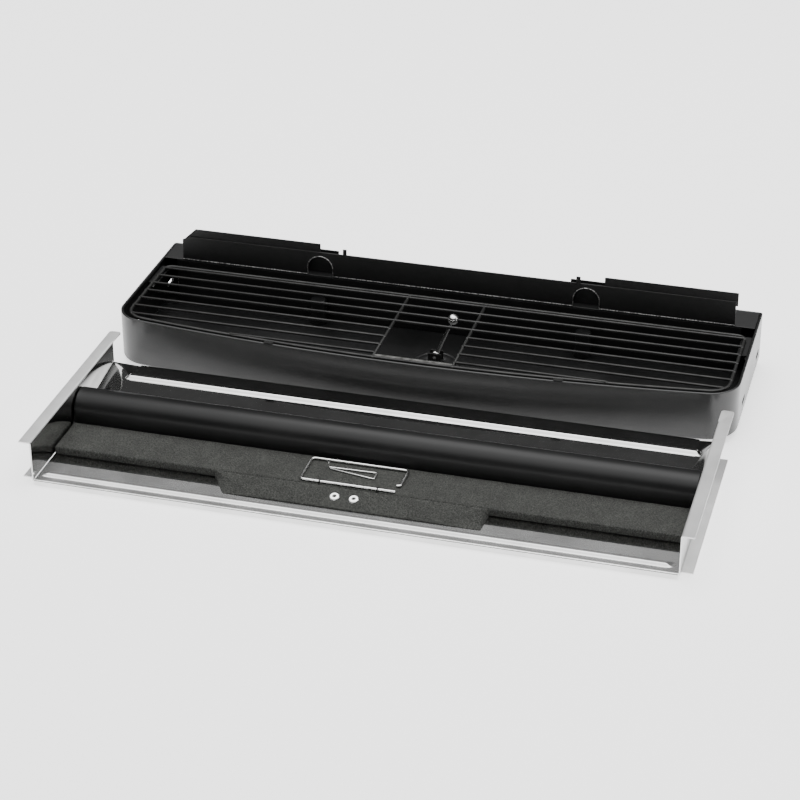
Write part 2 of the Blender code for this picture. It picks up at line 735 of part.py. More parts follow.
def row_places():
    return [RACK_FIRST_ROW + index * RACK_PITCH for index in range(RACK_ROWS)]


def row_half(distance):
    """How far a straight row reaches: to the frame wire, or to the bowed front."""
    reach = rack_edge_x(distance)
    if reach == 0.0:
        centre = TROUGH_FRONT + TROUGH_BOW
        bow = TROUGH_BOW - RACK_INSET
        reach = math.sqrt(bow ** 2 - (centre - distance) ** 2)
    return reach - 0.0004


def make_rack():
    """Lift-out rack: frame wire, straight rows and two rods beside the middle opening, all welded."""
    rack = as_mesh(wire("rack", rack_outline(), RACK_FRAME_WIRE, rack_wire(), closed=True))
    level = RACK_Z + RACK_WIRE_RISE
    spans = []
    for index, distance in enumerate(row_places()):
        reach = row_half(distance)
        if index < RACK_OPEN_ROWS:
            spans += [(-reach, -RACK_ROD_X, distance), (RACK_ROD_X, reach, distance)]
        else:
            spans += [(-reach, reach, distance)]
    for index, (start, end, distance) in enumerate(spans):
        row = as_mesh(wire("rack_row_%02d" % index, [(start, back(distance), level), (end, back(distance), level)],
                           RACK_WIRE, rack_wire()))
        boolean(rack, row, "UNION")
    for name, x in (("rack_rod_left", -RACK_ROD_X), ("rack_rod_right", RACK_ROD_X)):
        front = TROUGH_FRONT + RACK_INSET + x * x / (2 * TROUGH_BOW)
        ends = [(x, back(front + 0.0003), RACK_Z - 0.0002), (x, back(RACK_REAR - 0.0003), RACK_Z - 0.0002)]
        boolean(rack, as_mesh(wire(name, ends, RACK_FRAME_WIRE - 0.0002, rack_wire())), "UNION")
    strip_front = back(TROUGH_FRONT + RACK_INSET + 0.0003)
    strip = box("rack_strip", (-RACK_ROD_X, strip_front, RACK_Z - RACK_STRIP[1] / 2),
                (RACK_ROD_X, strip_front + RACK_STRIP[0], RACK_Z + RACK_STRIP[1] / 2), rack_wire())
    boolean(rack, strip, "UNION")


def make_brackets():
    """Angle at each end that the rack's side wire rests on, and the two screws that hold it."""
    wall = OVERALL_WIDTH / 2 - TROUGH_WALL - GAP
    shelf = RACK_Z - RACK_FRAME_WIRE / 2 - GAP
    first, last = BRACKET
    for side, sign in (("left", -1), ("right", 1)):
        section = [(wall, 0.0360), (wall, shelf), (wall - 0.0098, shelf), (wall - 0.0098, shelf - BRACKET_SHEET),
                   (wall - BRACKET_SHEET, shelf - BRACKET_SHEET), (wall - BRACKET_SHEET, 0.0360)]
        outline = [(sign * x, back(first), z) for x, z in section]
        bracket = extruded("rack_bracket_" + side, outline, (0, last - first, 0), black_enamel())
        for end, y in zip(("front", "rear"), SCREW_Y):
            hole = cylinder("bracket_hole", SCREW_SHANK + GAP, (sign * (wall - 0.004), back(y), SCREW_Z),
                            (sign * (wall + 0.004), back(y), SCREW_Z), black_enamel(), 12, CUTTERS)
            boolean(bracket, hole, "DIFFERENCE")
            make_end_screw("end_screw_%s_%s" % (side, end), sign, y, wall - BRACKET_SHEET - GAP)


def make_end_screw(name, sign, y, seat):
    """Domed screw head inside the trough with its shank out through the wall."""
    radius, height = SCREW_HEAD
    length = 0.0034
    profile = [(0.0, height), (radius * 0.55, height * 0.8), (radius, height * 0.25), (radius, 0.0),
               (SCREW_SHANK, 0.0), (SCREW_SHANK, -length), (0.0, -length)]
    bm = bmesh.new()
    corners = [bm.verts.new((r, 0, z)) for r, z in profile]
    for pair in zip(corners, corners[1:]):
        bm.edges.new(pair)
    item = place(name, mesh_from(bm, name), satin_steel())
    sweep = item.modifiers.new("turn", "SCREW")
    sweep.steps = 16
    sweep.render_steps = 16
    sweep.use_merge_vertices = True
    sweep.merge_threshold = 0.00001
    turn = Matrix.Rotation(math.radians(-90 * sign), 4, "Y")
    item.matrix_world = Matrix.Translation((sign * seat, back(y), SCREW_Z)) @ turn


def make_clips():
    """Small steel clips over the front rim, which carry the rack's front wire."""
    rim_y = TROUGH_FRONT + CLIP_X ** 2 / (2 * TROUGH_BOW)
    hook = TROUGH_RIM + GAP + CLIP_SHEET
    seat = RACK_Z - RACK_FRAME_WIRE / 2 - GAP
    inner = rim_y + TROUGH_WALL + 0.0014
    profile = [(rim_y - 0.0004, hook), (inner, hook), (inner, seat), (rim_y + RACK_INSET + 0.0022, seat)]
    for side, sign in (("left", -1), ("right", 1)):
        middle = sign * CLIP_X
        folded_sheet("rack_clip_" + side, profile, middle - CLIP_WIDTH / 2, middle + CLIP_WIDTH / 2,
                     CLIP_SHEET, bright_wire())


def make_valve():
    """Round seat on the trough's floor, a forked block on it and the pin through the fork."""
    floor = TROUGH_BASE + TROUGH_WALL + GAP
    cylinder("valve_seat", SEAT_RADIUS, (LEVER_X, back(LEVER_Y), floor),
             (LEVER_X, back(LEVER_Y), floor + SEAT_HEIGHT), black_enamel(), 32)
    base = floor + SEAT_HEIGHT + GAP
    ear = HUB_WIDTH / 2 + GAP + 0.0022
    block = box("valve_block", (LEVER_X - 0.0060, back(LEVER_Y) - ear, base),
                (LEVER_X + 0.0060, back(LEVER_Y) + ear, LEVER_Z + 0.0035), black_enamel())
    slot = HUB_WIDTH / 2 + GAP
    boolean(block, box("fork_slot", (LEVER_X - 0.0100, back(LEVER_Y) - slot, LEVER_Z - HUB_RADIUS - 0.0004),
                       (LEVER_X + 0.0100, back(LEVER_Y) + slot, LEVER_Z + 0.0200), black_enamel(), CUTTERS),
            "DIFFERENCE")
    boolean(block, cylinder("fork_bore", PIN_RADIUS + GAP, (LEVER_X, back(LEVER_Y) - 0.02, LEVER_Z),
                            (LEVER_X, back(LEVER_Y) + 0.02, LEVER_Z), black_enamel(), 20, CUTTERS), "DIFFERENCE")
    cylinder("valve_pin", PIN_RADIUS, (LEVER_X, back(LEVER_Y) - ear, LEVER_Z),
             (LEVER_X, back(LEVER_Y) + ear, LEVER_Z), satin_steel(), 20)


def make_lever():
    """Lever on the pin, leaning to the right, with a round knob; both turn about the pin."""
    pivot = bpy.data.objects.new("lever_axis", None)
    PARTS.objects.link(pivot)
    pivot.location = (LEVER_X, back(LEVER_Y), LEVER_Z)
    pivot.rotation_euler = (0, LEVER_LEAN, 0)
    hub = cylinder("valve_lever", HUB_RADIUS, (0, -HUB_WIDTH / 2, 0), (0, HUB_WIDTH / 2, 0), satin_steel(), 24)
    arm_end = LEVER_LENGTH - KNOB_RADIUS * 0.4
    arm = cylinder("lever_arm", LEVER_ARM, (0, 0, HUB_RADIUS * 0.6), (0, 0, arm_end), satin_steel(), 16, CUTTERS)
    bore = cylinder("lever_bore", PIN_RADIUS + GAP, (0, -0.01, 0), (0, 0.01, 0), satin_steel(), 20, CUTTERS)
    boolean(hub, arm, "UNION")
    boolean(hub, bore, "DIFFERENCE")
    bm = bmesh.new()
    bmesh.ops.create_uvsphere(bm, u_segments=20, v_segments=12, radius=KNOB_RADIUS,
                              matrix=Matrix.Translation((0, 0, LEVER_LENGTH)))
    knob = place("valve_knob", mesh_from(bm, "valve_knob"), bright_wire())
    socket = cylinder("knob_bore", LEVER_ARM + GAP, (0, 0, LEVER_LENGTH - 2 * KNOB_RADIUS),
                      (0, 0, arm_end + GAP), bright_wire(), 16, CUTTERS)
    boolean(knob, socket, "DIFFERENCE")
    for item in (hub, arm, bore, knob, socket):
        item.parent = pivot


def smooth_round_pieces():
    """Shade curved walls smooth and keep folds and rims sharp."""
    for item in PARTS.objects:
        if item.type == "MESH":
            item.data.shade_smooth()
            item.data.set_sharp_from_angle(angle=math.radians(35))


def main():
    clear_scene()
    make_tray_floor()
    make_rail("rail_left", -1)
    make_rail("rail_right", 1)
    make_backing()
    make_foam()
    make_rivets()
    make_bolster()
    make_bail()
    make_staples()
    make_hairpin()
    make_trough_shell()
    make_ledge()
    make_back_plate()
    make_upper_strips()
    make_posts()
    make_feet()
    make_rack()
    make_brackets()
    make_clips()
    make_valve()
    make_lever()
    smooth_round_pieces()


main()
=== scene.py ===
# %% [markdown]
# # A tray on channel rails and a trough with a wire rack
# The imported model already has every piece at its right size. Here each visible piece is made again with
# rolled edges, folds and weld joints, and gets a finish that looks like polished steel, foam or enamel.

# %% Load the frame
import math

import bmesh
import bpy
from mathutils import Matrix, Vector, noise


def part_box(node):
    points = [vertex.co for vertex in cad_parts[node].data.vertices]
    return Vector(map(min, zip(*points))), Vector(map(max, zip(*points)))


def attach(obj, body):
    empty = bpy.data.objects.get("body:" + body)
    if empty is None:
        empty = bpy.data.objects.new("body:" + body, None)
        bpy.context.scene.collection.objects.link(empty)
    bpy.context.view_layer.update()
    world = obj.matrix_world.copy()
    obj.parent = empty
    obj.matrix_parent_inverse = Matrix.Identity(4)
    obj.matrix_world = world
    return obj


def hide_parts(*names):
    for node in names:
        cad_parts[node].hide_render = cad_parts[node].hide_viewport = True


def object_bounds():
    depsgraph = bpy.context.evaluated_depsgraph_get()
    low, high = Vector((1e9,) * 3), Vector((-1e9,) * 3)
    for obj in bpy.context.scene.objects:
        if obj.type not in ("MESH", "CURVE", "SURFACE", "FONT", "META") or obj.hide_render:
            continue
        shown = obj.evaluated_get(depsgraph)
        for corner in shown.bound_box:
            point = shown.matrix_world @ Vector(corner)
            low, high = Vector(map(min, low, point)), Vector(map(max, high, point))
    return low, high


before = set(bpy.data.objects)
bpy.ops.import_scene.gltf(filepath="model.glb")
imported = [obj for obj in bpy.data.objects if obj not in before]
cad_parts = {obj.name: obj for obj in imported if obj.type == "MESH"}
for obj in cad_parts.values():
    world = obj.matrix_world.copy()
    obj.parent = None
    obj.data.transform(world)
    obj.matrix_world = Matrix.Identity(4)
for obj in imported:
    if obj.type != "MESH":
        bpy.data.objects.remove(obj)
cad_low, cad_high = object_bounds()
print("CAD box", tuple(cad_low), tuple(cad_high))

# %% [markdown]
# Most sizes are read from the frame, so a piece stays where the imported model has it. FRONT is the tray's
# front edge, and back(d) is the Y of a place that lies d metres behind it.

# %% Sizes shared by the pieces
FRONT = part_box("rail_left")[0].y
REAR = cad_high.y
HALF = cad_high.x
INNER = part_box("rail_right")[0].x
FLOOR = 0.0050
DECK = 0.0224
GAP = 0.0003


def back(distance):
    """Y of a place that lies this far behind the tray's front edge."""
    return FRONT + distance


print("tray width between the rails", round(2 * INNER, 4))

# %% [markdown]
# Shader maths reads best as ordinary sums. The class below wraps a socket, so `wear * 0.3 + 0.1` adds the
# Math nodes by itself. Every other node comes from one method, `node`.


# %% A socket that can be added and multiplied
class Value:
    """A socket in one material's node tree."""

    def __init__(self, paint, socket):
        self.paint = paint
        self.socket = socket

    def math(self, operation, first, second):
        return self.paint.node("ShaderNodeMath", {"operation": operation}, {0: first, 1: second})

    def __add__(self, other):
        return self.math("ADD", self, other)

    def __sub__(self, other):
        return self.math("SUBTRACT", self, other)

    def __rsub__(self, other):
        return self.math("SUBTRACT", other, self)

    def __mul__(self, other):
        return self.math("MULTIPLY", self, other)

    __radd__ = __add__
    __rmul__ = __mul__

    def between(self, low, high):
        """0 below low, 1 above high, and a straight ramp between them."""
        values = {"Value": self, "From Min": low, "From Max": high, "To Min": 0.0, "To Max": 1.0}
        return self.paint.node("ShaderNodeMapRange", {"clamp": True}, values)


# %% [markdown]
# `Paint` is one Principled material. Constant numbers go straight on the shader's sockets, and only colour,
# roughness, metallic, coat and bump may vary over the surface, because those are what a bake can keep.


# %% A material under construction
class Paint:
    """A Principled material with helpers for its nodes."""

    def __init__(self, name, **constants):
        self.material = bpy.data.materials.new(name)
        self.material.use_nodes = True
        self.tree = self.material.node_tree
        self.shader = self.tree.nodes["Principled BSDF"]
        for label, value in constants.items():
            self.shader.inputs[label.replace("_", " ")].default_value = value
        self.where = self.node("ShaderNodeTexCoord", {}, {}, output="Object")

    def node(self, kind, settings, values, output=0):
        item = self.tree.nodes.new(kind)
        for key, value in settings.items():
            setattr(item, key, value)
        for key, value in values.items():
            socket = item.inputs[key]
            if isinstance(value, Value):
                self.tree.links.new(value.socket, socket)
            else:
                socket.default_value = value
        return Value(self, item.outputs[output])

    def stretched(self, x, y, z):
        """Object coordinates with each axis scaled, for a pattern with a direction."""
        return self.node("ShaderNodeMapping", {}, {"Vector": self.where, "Scale": (x, y, z)})

    def noise(self, scale, detail=3.0, roughness=0.5, vector=None):
        values = {"Vector": vector or self.where, "Scale": scale, "Detail": detail, "Roughness": roughness}
        return self.node("ShaderNodeTexNoise", {}, values, output="Fac")

    def cells(self, scale):
        values = {"Vector": self.where, "Scale": scale}
        return self.node("ShaderNodeTexVoronoi", {}, values, output="Distance")

    def mix(self, factor, first, second):
        """Colours are (red, green, blue), or a socket. The Mix node keeps its colours at 6, 7 and 2."""
        values = {0: factor}
        for place, colour in ((6, first), (7, second)):
            values[place] = colour if isinstance(colour, Value) else (*colour, 1.0)
        return self.node("ShaderNodeMix", {"data_type": "RGBA"}, values, output=2)

    def bump(self, height, strength, distance):
        return self.node("ShaderNodeBump", {}, {"Height": height, "Strength": strength,
                                                "Distance": distance}, output="Normal")

    def vary(self, **sockets):
        """Link what changes over the surface, and return the finished material."""
        for label, value in sockets.items():
            self.tree.links.new(value.socket, self.shader.inputs[label.replace("_", " ")])
        return self.material


def wear(paint, scale=22.0):
    """Large soft patches where a surface is a little cleaner or duller."""
    return paint.noise(scale, detail=4.0, roughness=0.55)


# %% [markdown]
# ## Stainless steel
# The tray is bright rolled sheet. Rolling leaves very fine lines along its length, and handling leaves faint
# cloudy patches. Both change the roughness a little and hardly touch the colour.


# %% Polished sheet
def make_polished_steel():
    paint = Paint("polished_steel", Metallic=1.0, Anisotropic=0.35)
    lines = paint.noise(1.0, detail=3.0, vector=paint.stretched(9.0, 1600.0, 900.0))
    clouds = wear(paint, 30.0)
    colour = paint.mix(clouds.between(0.35, 0.7), (0.66, 0.66, 0.655), (0.80, 0.80, 0.795))
    roughness = 0.035 + lines * 0.03 + clouds * 0.05
    height = lines * 0.6 + paint.noise(900.0, detail=1.0) * 0.2
    return paint.vary(Base_Color=colour, Roughness=roughness, Normal=paint.bump(height, 0.05, 0.00002))


POLISHED = make_polished_steel()
print("material", POLISHED.name)


# %% [markdown]
# The rails are the same steel with a satin, slightly milky face: rougher, paler and with short grain marks
# along the rail. The strip along the tray's front edge is brushed, so it stays bright from more directions.


# %% Satin and brushed steel
def make_satin_steel():
    paint = Paint("satin_rail_steel", Metallic=0.75)
    grain = paint.noise(1.0, detail=4.0, vector=paint.stretched(1500.0, 14.0, 1500.0))
    clouds = wear(paint, 34.0)
    colour = paint.mix(clouds.between(0.3, 0.75), (0.70, 0.70, 0.695), (0.84, 0.84, 0.835))
    roughness = 0.30 + grain * 0.12 + clouds * 0.08
    return paint.vary(Base_Color=colour, Roughness=roughness, Normal=paint.bump(grain, 0.14, 0.00005))


def make_brushed_steel():
    paint = Paint("brushed_sheet", Metallic=0.9)
    grain = paint.noise(1.0, detail=4.0, vector=paint.stretched(12.0, 1500.0, 1500.0))
    clouds = wear(paint, 26.0)
    colour = paint.mix(clouds.between(0.3, 0.75), (0.66, 0.66, 0.655), (0.82, 0.82, 0.815))
    roughness = 0.16 + grain * 0.08 + clouds * 0.06
    return paint.vary(Base_Color=colour, Roughness=roughness, Normal=paint.bump(grain, 0.10, 0.00004))


SATIN = make_satin_steel()
BRUSHED = make_brushed_steel()


# %% [markdown]
# Wire, rivets and clips are nickel plated. Plating over drawn wire keeps the faint draw lines and has tiny
# dark specks where dirt sits.


# %% Bright plating
def make_bright_plate():
    paint = Paint("bright_plate", Metallic=1.0)
    specks = paint.noise(1400.0, detail=2.0).between(0.60, 0.72)
    colour = paint.mix(specks, (0.86, 0.86, 0.85), (0.42, 0.42, 0.41))
    roughness = 0.16 + specks * 0.25 + wear(paint, 160.0) * 0.08
    return paint.vary(Base_Color=colour, Roughness=roughness,
                      Normal=paint.bump(paint.noise(2200.0), 0.10, 0.00003))


BRIGHT = make_bright_plate()


# %% [markdown]
# ## Black finishes
# The trough is enamelled: glass-like, with the soft ripple called orange peel, and it carries a thin haze of
# dust that lifts the black to a very dark grey. A coat layer gives the clear top surface.


# %% Black enamel
def make_enamel(name, ripple, haze_top, roughness_low):
    paint = Paint(name, Coat_Roughness=0.20)
    dust = paint.noise(1500.0, detail=2.0).between(0.62, 0.80)
    haze = wear(paint, 16.0).between(0.30, 0.75)
    black = paint.mix(haze, (0.0030, 0.0031, 0.0032), haze_top)
    colour = paint.mix(dust * 0.35, black, (0.060, 0.060, 0.058))
    peel = paint.noise(420.0, detail=2.0, roughness=0.45)
    roughness = roughness_low + haze * 0.10 + dust * 0.20
    coat = 0.35 - haze * 0.10
    normal = paint.bump(peel, ripple, 0.0002)
    return paint.vary(Base_Color=colour, Roughness=roughness, Coat_Weight=coat, Normal=normal)


ENAMEL = make_enamel("black_enamel", 0.10, (0.0060, 0.0062, 0.0062), 0.34)
PLATE_ENAMEL = make_enamel("black_plate_enamel", 0.16, (0.0040, 0.0041, 0.0041), 0.48)


# %% [markdown]
# The foam is open-cell sheet. Cut cells are about half a millimetre wide, so two sizes of Voronoi cells drive
# its bump, and the same cells darken its colour in each cell's hollow as painted shade, with paler rims.


# %% Cellular foam
def make_foam():
    paint = Paint("black_foam", Roughness=0.95, Specular_IOR_Level=0.25)
    fine = paint.cells(1300.0)
    coarse = paint.cells(560.0)
    grain = paint.noise(1500.0, detail=3.0, roughness=0.65)
    rims_and_hollow_shade = (fine * 0.6 + coarse * 0.5).between(0.15, 0.75)
    tint = paint.mix(wear(paint, 60.0).between(0.3, 0.7), (0.040, 0.0415, 0.038), (0.058, 0.060, 0.055))
    # Painted shade: the colour is darkest in each cell's hollow, where the bump is lowest, and keeps the
    # foam's tint on the rims.
    colour = paint.mix(rims_and_hollow_shade, (0.010, 0.010, 0.010), tint)
    speck = paint.mix(grain.between(0.52, 0.70) * 0.8, colour, (0.145, 0.147, 0.137))
    height = rims_and_hollow_shade + grain * 0.5
    return paint.vary(Base_Color=speck, Normal=paint.bump(height, 0.85, 0.0005))


FOAM = make_foam()


# %% [markdown]
# The bolster is a smooth black moulding with a satin skin. Fine leather-like grain would be too strong, so
# the bump is only the slow unevenness of a moulded surface with a few rub marks along its length.


# %% Moulded black skin
def make_skin():
    paint = Paint("bolster_skin", Specular_IOR_Level=0.30)
    rubs = paint.noise(1.0, detail=4.0, vector=paint.stretched(18.0, 420.0, 420.0))
    patches = wear(paint, 18.0)
    colour = paint.mix(patches.between(0.35, 0.70), (0.0045, 0.0046, 0.0047), (0.0085, 0.0086, 0.0086))
    roughness = 0.30 + rubs * 0.10 + patches * 0.08
    height = rubs * 0.5 + paint.noise(900.0, detail=2.0) * 0.5
    return paint.vary(Base_Color=colour, Roughness=roughness, Normal=paint.bump(height, 0.12, 0.00012))


SKIN = make_skin()


# %% [markdown]
# The rack is dark plated wire with a little soot on it. The feet are matt rubber with a faint grey bloom.


# %% Rack wire and rubber
def make_rack_finish():
    paint = Paint("dark_rack_plate", Metallic=0.35)
    soot = wear(paint, 70.0).between(0.35, 0.70)
    fleck = paint.noise(1700.0, detail=2.0).between(0.62, 0.75)
    base = paint.mix(soot, (0.030, 0.030, 0.029), (0.014, 0.014, 0.014))
    colour = paint.mix(fleck * 0.5, base, (0.11, 0.11, 0.105))
    roughness = 0.30 + soot * 0.20
    return paint.vary(Base_Color=colour, Roughness=roughness,
                      Normal=paint.bump(paint.noise(1300.0), 0.2, 0.00008))


def make_rubber():
    paint = Paint("black_rubber", Specular_IOR_Level=0.35)
    bloom = wear(paint, 120.0)
    colour = paint.mix(bloom, (0.016, 0.016, 0.016), (0.040, 0.040, 0.039))
    return paint.vary(Base_Color=colour, Roughness=0.70 + bloom * 0.2,
                      Normal=paint.bump(paint.noise(1500.0), 0.3, 0.0001))


RACK_FINISH = make_rack_finish()
RUBBER = make_rubber()
print("materials", len(bpy.data.materials))

# %% [markdown]
# ## Tools for the pieces
# Three ways of working make nearly everything here: a folded sheet, a drawn wire and a turned piece. Each is
# a short function on bmesh operators, and `place` names the finished mesh and lets it ride on its body.


# %% Finish a mesh
def place(bm, name, material, body, replaces=(), slot=None, smooth=40.0, rounding=0.0, segments=2):
    """Turn a bmesh into a named piece that rides on a body and stands for its CAD nodes."""
    mesh = bpy.data.meshes.new(name)
    bm.to_mesh(mesh)
    bm.free()
    mesh.shade_smooth()
    mesh.set_sharp_from_angle(angle=math.radians(smooth))
    mesh.materials.append(material)
    piece = bpy.data.objects.new(name, mesh)
    bpy.context.scene.collection.objects.link(piece)
    if rounding:
        edge = piece.modifiers.new("edge", "BEVEL")
        edge.width = rounding
        edge.segments = segments
        edge.limit_method = "ANGLE"
        edge.angle_limit = math.radians(35)
        edge.harden_normals = True
    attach(piece, body)
    if replaces:
        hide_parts(*replaces)
    print(name, len(mesh.polygons), "faces")
    return piece


def dress(node, material):
    """Give a CAD node that keeps its own shape a better material."""
    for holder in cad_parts[node].material_slots:
        holder.material = material


def new_verts(result):
    return [part for part in result["geom"] if isinstance(part, bmesh.types.BMVert)]


def new_edges(result):
    return [part for part in result["geom"] if isinstance(part, bmesh.types.BMEdge)]


def outward(bm):
    """Merge doubles, then make every face of a closed shape point out."""
    bmesh.ops.remove_doubles(bm, verts=bm.verts, dist=0.000002)
    bmesh.ops.recalc_face_normals(bm, faces=bm.faces)


# %% Cuts, bevels and pulls
def bevel(bm, geom, offset, segments, affect="EDGES"):
    """Round edges or corners with the editor's own profile."""
    bmesh.ops.bevel(bm, geom=geom, offset=offset, segments=segments, profile=0.5, affect=affect,
                    material=-1, clamp_overlap=True)


def cut_across(bm, point, normal):
    """Divide every face that crosses a plane."""
    bmesh.ops.bisect_plane(bm, geom=bm.verts[:] + bm.edges[:] + bm.faces[:], plane_co=point,
                           plane_no=normal)


def pull_edges(bm, edges):
    """Pull faces out of edges. Returns the new corners and the new outer edges, still in place."""
    pulled = bmesh.ops.extrude_edge_only(bm, edges=edges)
    moved = new_verts(pulled)
    inside = set(moved)
    return moved, [edge for edge in new_edges(pulled) if all(v in inside for v in edge.verts)]


def pull_outline(bm, points, direction):
    """A solid between a flat outline and its copy, moved along a direction."""
    face = bm.faces.new([bm.verts.new(point) for point in points])
    pulled = bmesh.ops.extrude_face_region(bm, geom=[face])
    bmesh.ops.translate(bm, vec=direction, verts=new_verts(pulled))
    outward(bm)


# %% [markdown]
# A folded sheet starts as an open line of fold points. The line is pulled along the sheet's length, the
# folds are rounded with a bevel, and Solidify gives the wall. Channels, lips and flanges are all made so.


# %% Folded sheet
FOLD_ANGLE = math.radians(12)


def pull_line(bm, points, direction):
    """Pull an open line of points along a direction, to make an open sheet."""
    corners = [bm.verts.new(point) for point in points]
    moved, _ = pull_edges(bm, [bm.edges.new(pair) for pair in zip(corners, corners[1:])])
    bmesh.ops.translate(bm, vec=direction, verts=moved)


def round_folds(bm, radius):
    """Bevel every fold of an open sheet that turns by more than a few degrees."""
    bm.normal_update()
    folds = [e for e in bm.edges if len(e.link_faces) == 2 and e.calc_face_angle() > FOLD_ANGLE]
    bevel(bm, folds, radius, 4)


def face_towards(bm, direction):
    """Turn an open sheet so that the face most along a direction looks that way."""
    bmesh.ops.recalc_face_normals(bm, faces=bm.faces)
    bm.normal_update()
    along = Vector(direction)
    best = max(bm.faces, key=lambda face: abs(face.normal.dot(along)) * face.calc_area())
    if best.normal.dot(along) < 0:
        bmesh.ops.reverse_faces(bm, faces=bm.faces)


def thicken(bm, thickness):
    """Give an open sheet its wall on the side away from its faces."""
    bmesh.ops.solidify(bm, geom=bm.faces[:], thickness=thickness)


# %% [markdown]
# A wire is a small ring pulled from point to point. At each point the ring turns to face halfway between the
# two straight stretches, so the wire keeps its thickness through a bend.


# %% Drawn wire
def wire(bm, path, radius, sides=12, closed=False):
    """A round wire along a path, added to a bmesh; open ends get a small rounding."""
    points = [Vector(point) for point in path]
    count = len(points)
    directions = []
    for index in range(count):
        before = points[index] - points[index - 1] if closed or index else None
        after = points[(index + 1) % count] - points[index] if closed or index < count - 1 else None
        total = sum((step.normalized() for step in (before, after) if step), Vector())
        directions.append(total.normalized())
    turn = directions[0].to_track_quat("Z", "Y").to_matrix().to_4x4()
    ring = bmesh.ops.create_circle(bm, segments=sides, radius=radius,
                                   matrix=Matrix.Translation(points[0]) @ turn)["verts"]
    edges = list({edge for corner in ring for edge in corner.link_edges})
    first = edges
    for index in range(1, count):
        moved, edges = pull_edges(bm, edges)
        bmesh.ops.translate(bm, vec=points[index] - points[index - 1], verts=moved)
        lean = directions[index - 1].rotation_difference(directions[index]).to_matrix()
        bmesh.ops.rotate(bm, cent=points[index], matrix=lean, verts=moved)
    if closed:
        bmesh.ops.bridge_loops(bm, edges=first + edges)
        return
    for end in (first, edges):
        cap = bmesh.ops.edgeloop_fill(bm, edges=end)["faces"]
        bevel(bm, [edge for face in cap for edge in face.edges], radius * 0.35, 2)


def straight_wire(bm, start, end, radius, sides):
    """A straight stretch of wire, with one ring halfway."""
    start, end = Vector(start), Vector(end)
    wire(bm, [start, (start + end) / 2, end], radius, sides)


def bend(corners, radius, steps):
    """A path through corners, each but the ends replaced by a curve of about the given radius."""
    path = [Vector(corners[0])]
    for before, corner, after in zip(corners, corners[1:], corners[2:]):
        here = Vector(corner)
        arriving = (Vector(before) - here).normalized() * radius
        leaving = (Vector(after) - here).normalized() * radius
        for step in range(steps + 1):
            share = step / steps
            path.append(here + arriving * (1 - share) ** 2 + leaving * share ** 2)
    return path + [Vector(corners[-1])]


# %% [markdown]
# A turned piece, such as a rivet or a screw head, is half of its outline spun once round an axis.


# %% Turned piece
SPIN_STEPS = 32


def turn_outline(bm, outline, matrix):
    """Spin an outline of (radius, height) round Z, then move the result by a matrix."""
    before = set(bm.verts)
    corners = [bm.verts.new((radius, 0.0, height)) for radius, height in outline]
    edges = [bm.edges.new(pair) for pair in zip(corners, corners[1:])]
    bmesh.ops.spin(bm, geom=corners + edges, axis=(0, 0, 1), cent=(0, 0, 0), angle=math.tau,
                   steps=SPIN_STEPS, use_merge=True)
    bmesh.ops.transform(bm, matrix=matrix, verts=[v for v in bm.verts if v not in before])


def block(bm, low, high):
    """A box between two corners, added to a bmesh."""
    low, high = Vector(low), Vector(high)
    size = high - low
    matrix = Matrix.Translation((low + high) / 2) @ Matrix.Diagonal((*size, 1.0))
    bmesh.ops.create_cube(bm, size=1.0, matrix=matrix)


# %% [markdown]
# ## The tray
# The tray is one pressing: a low floor with a stiffening bead near its front edge, and behind the bolster a
# raised deck with a second bead. At both ends the deck is creased diagonally, from the bead's end to the
# corner, where the press pulled the sheet down to the rail. A grid is shaped by a height rule, row by row.
# The strip in front of BRUSHED_TO is brushed, and the rest of the sheet is polished.

# %% Heights over the tray
TRAY_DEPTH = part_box("tray_floor")[1].y - FRONT
TRAY_SHEET = 0.0010
FRONT_BEAD = 0.0117
FRONT_BEAD_SIZE = (0.0082, 0.0020)
FRONT_BEAD_ENDS = (-0.2640, 0.2600)
REAR_BEAD = 0.1613
REAR_BEAD_SIZE = (0.0100, 0.0026)
REAR_BEAD_ENDS = (-0.2466, 0.2590)
DECK_START = 0.1265
CREASE_SLOPE = 0.14
CORNER_SLOPE = 0.05
BRUSHED_TO = 0.0315


def rounded_step(value, low, high):
    """0 below low and 1 above high, with a smooth S between."""
    share = min(1.0, max(0.0, (value - low) / (high - low)))
    return share * share * (3 - 2 * share)


def bead(distance, middle, width, height):
    """Cross-section of a bead: a flat crown with two soft flanks."""
    across = abs(distance - middle) / (width / 2)
    if across >= 1.0:
        return 0.0
    return height * (1.0 - rounded_step(across, 0.35, 1.0))


def fade(x, low, high, run):
    """1 between two ends, falling to 0 over a short run beyond them."""
    inside = min(x - low, high - x)
    return rounded_step(inside, -run, 0.0)


def tray_height(x, distance):
    """Height of the pressing's upper face at a place."""
    deck = rounded_step(distance, DECK_START - 0.0035, DECK_START + 0.0005)
    height = FLOOR + (DECK - FLOOR) * deck
    height += bead(distance, FRONT_BEAD, *FRONT_BEAD_SIZE) * fade(x, *FRONT_BEAD_ENDS, 0.0060)
    height += bead(distance, REAR_BEAD, *REAR_BEAD_SIZE) * fade(x, *REAR_BEAD_ENDS, 0.0040)
    end = REAR_BEAD_ENDS[0] if x < 0 else REAR_BEAD_ENDS[1]
    out = (abs(x) - abs(end)) / (INNER - abs(end))
    if out > 0 and DECK_START < distance < TRAY_DEPTH:
        diagonal = REAR_BEAD + out * (TRAY_DEPTH - REAR_BEAD)
        height -= max(0.0, diagonal - distance) * CREASE_SLOPE * min(1.0, out * 1.5)
        height -= max(0.0, distance - diagonal) * CORNER_SLOPE
    return height


# %% Press the tray
def spread(stops, spacing):
    """Places between stops, no further apart than the spacing."""
    places = [stops[0]]
    for low, high in zip(stops, stops[1:]):
        count = max(1, math.ceil((high - low) / spacing))
        places += [low + (high - low) * step / count for step in range(1, count + 1)]
    return places


FIRST_ROW = 0.0008
LAST_ROW = TRAY_DEPTH - 0.0012


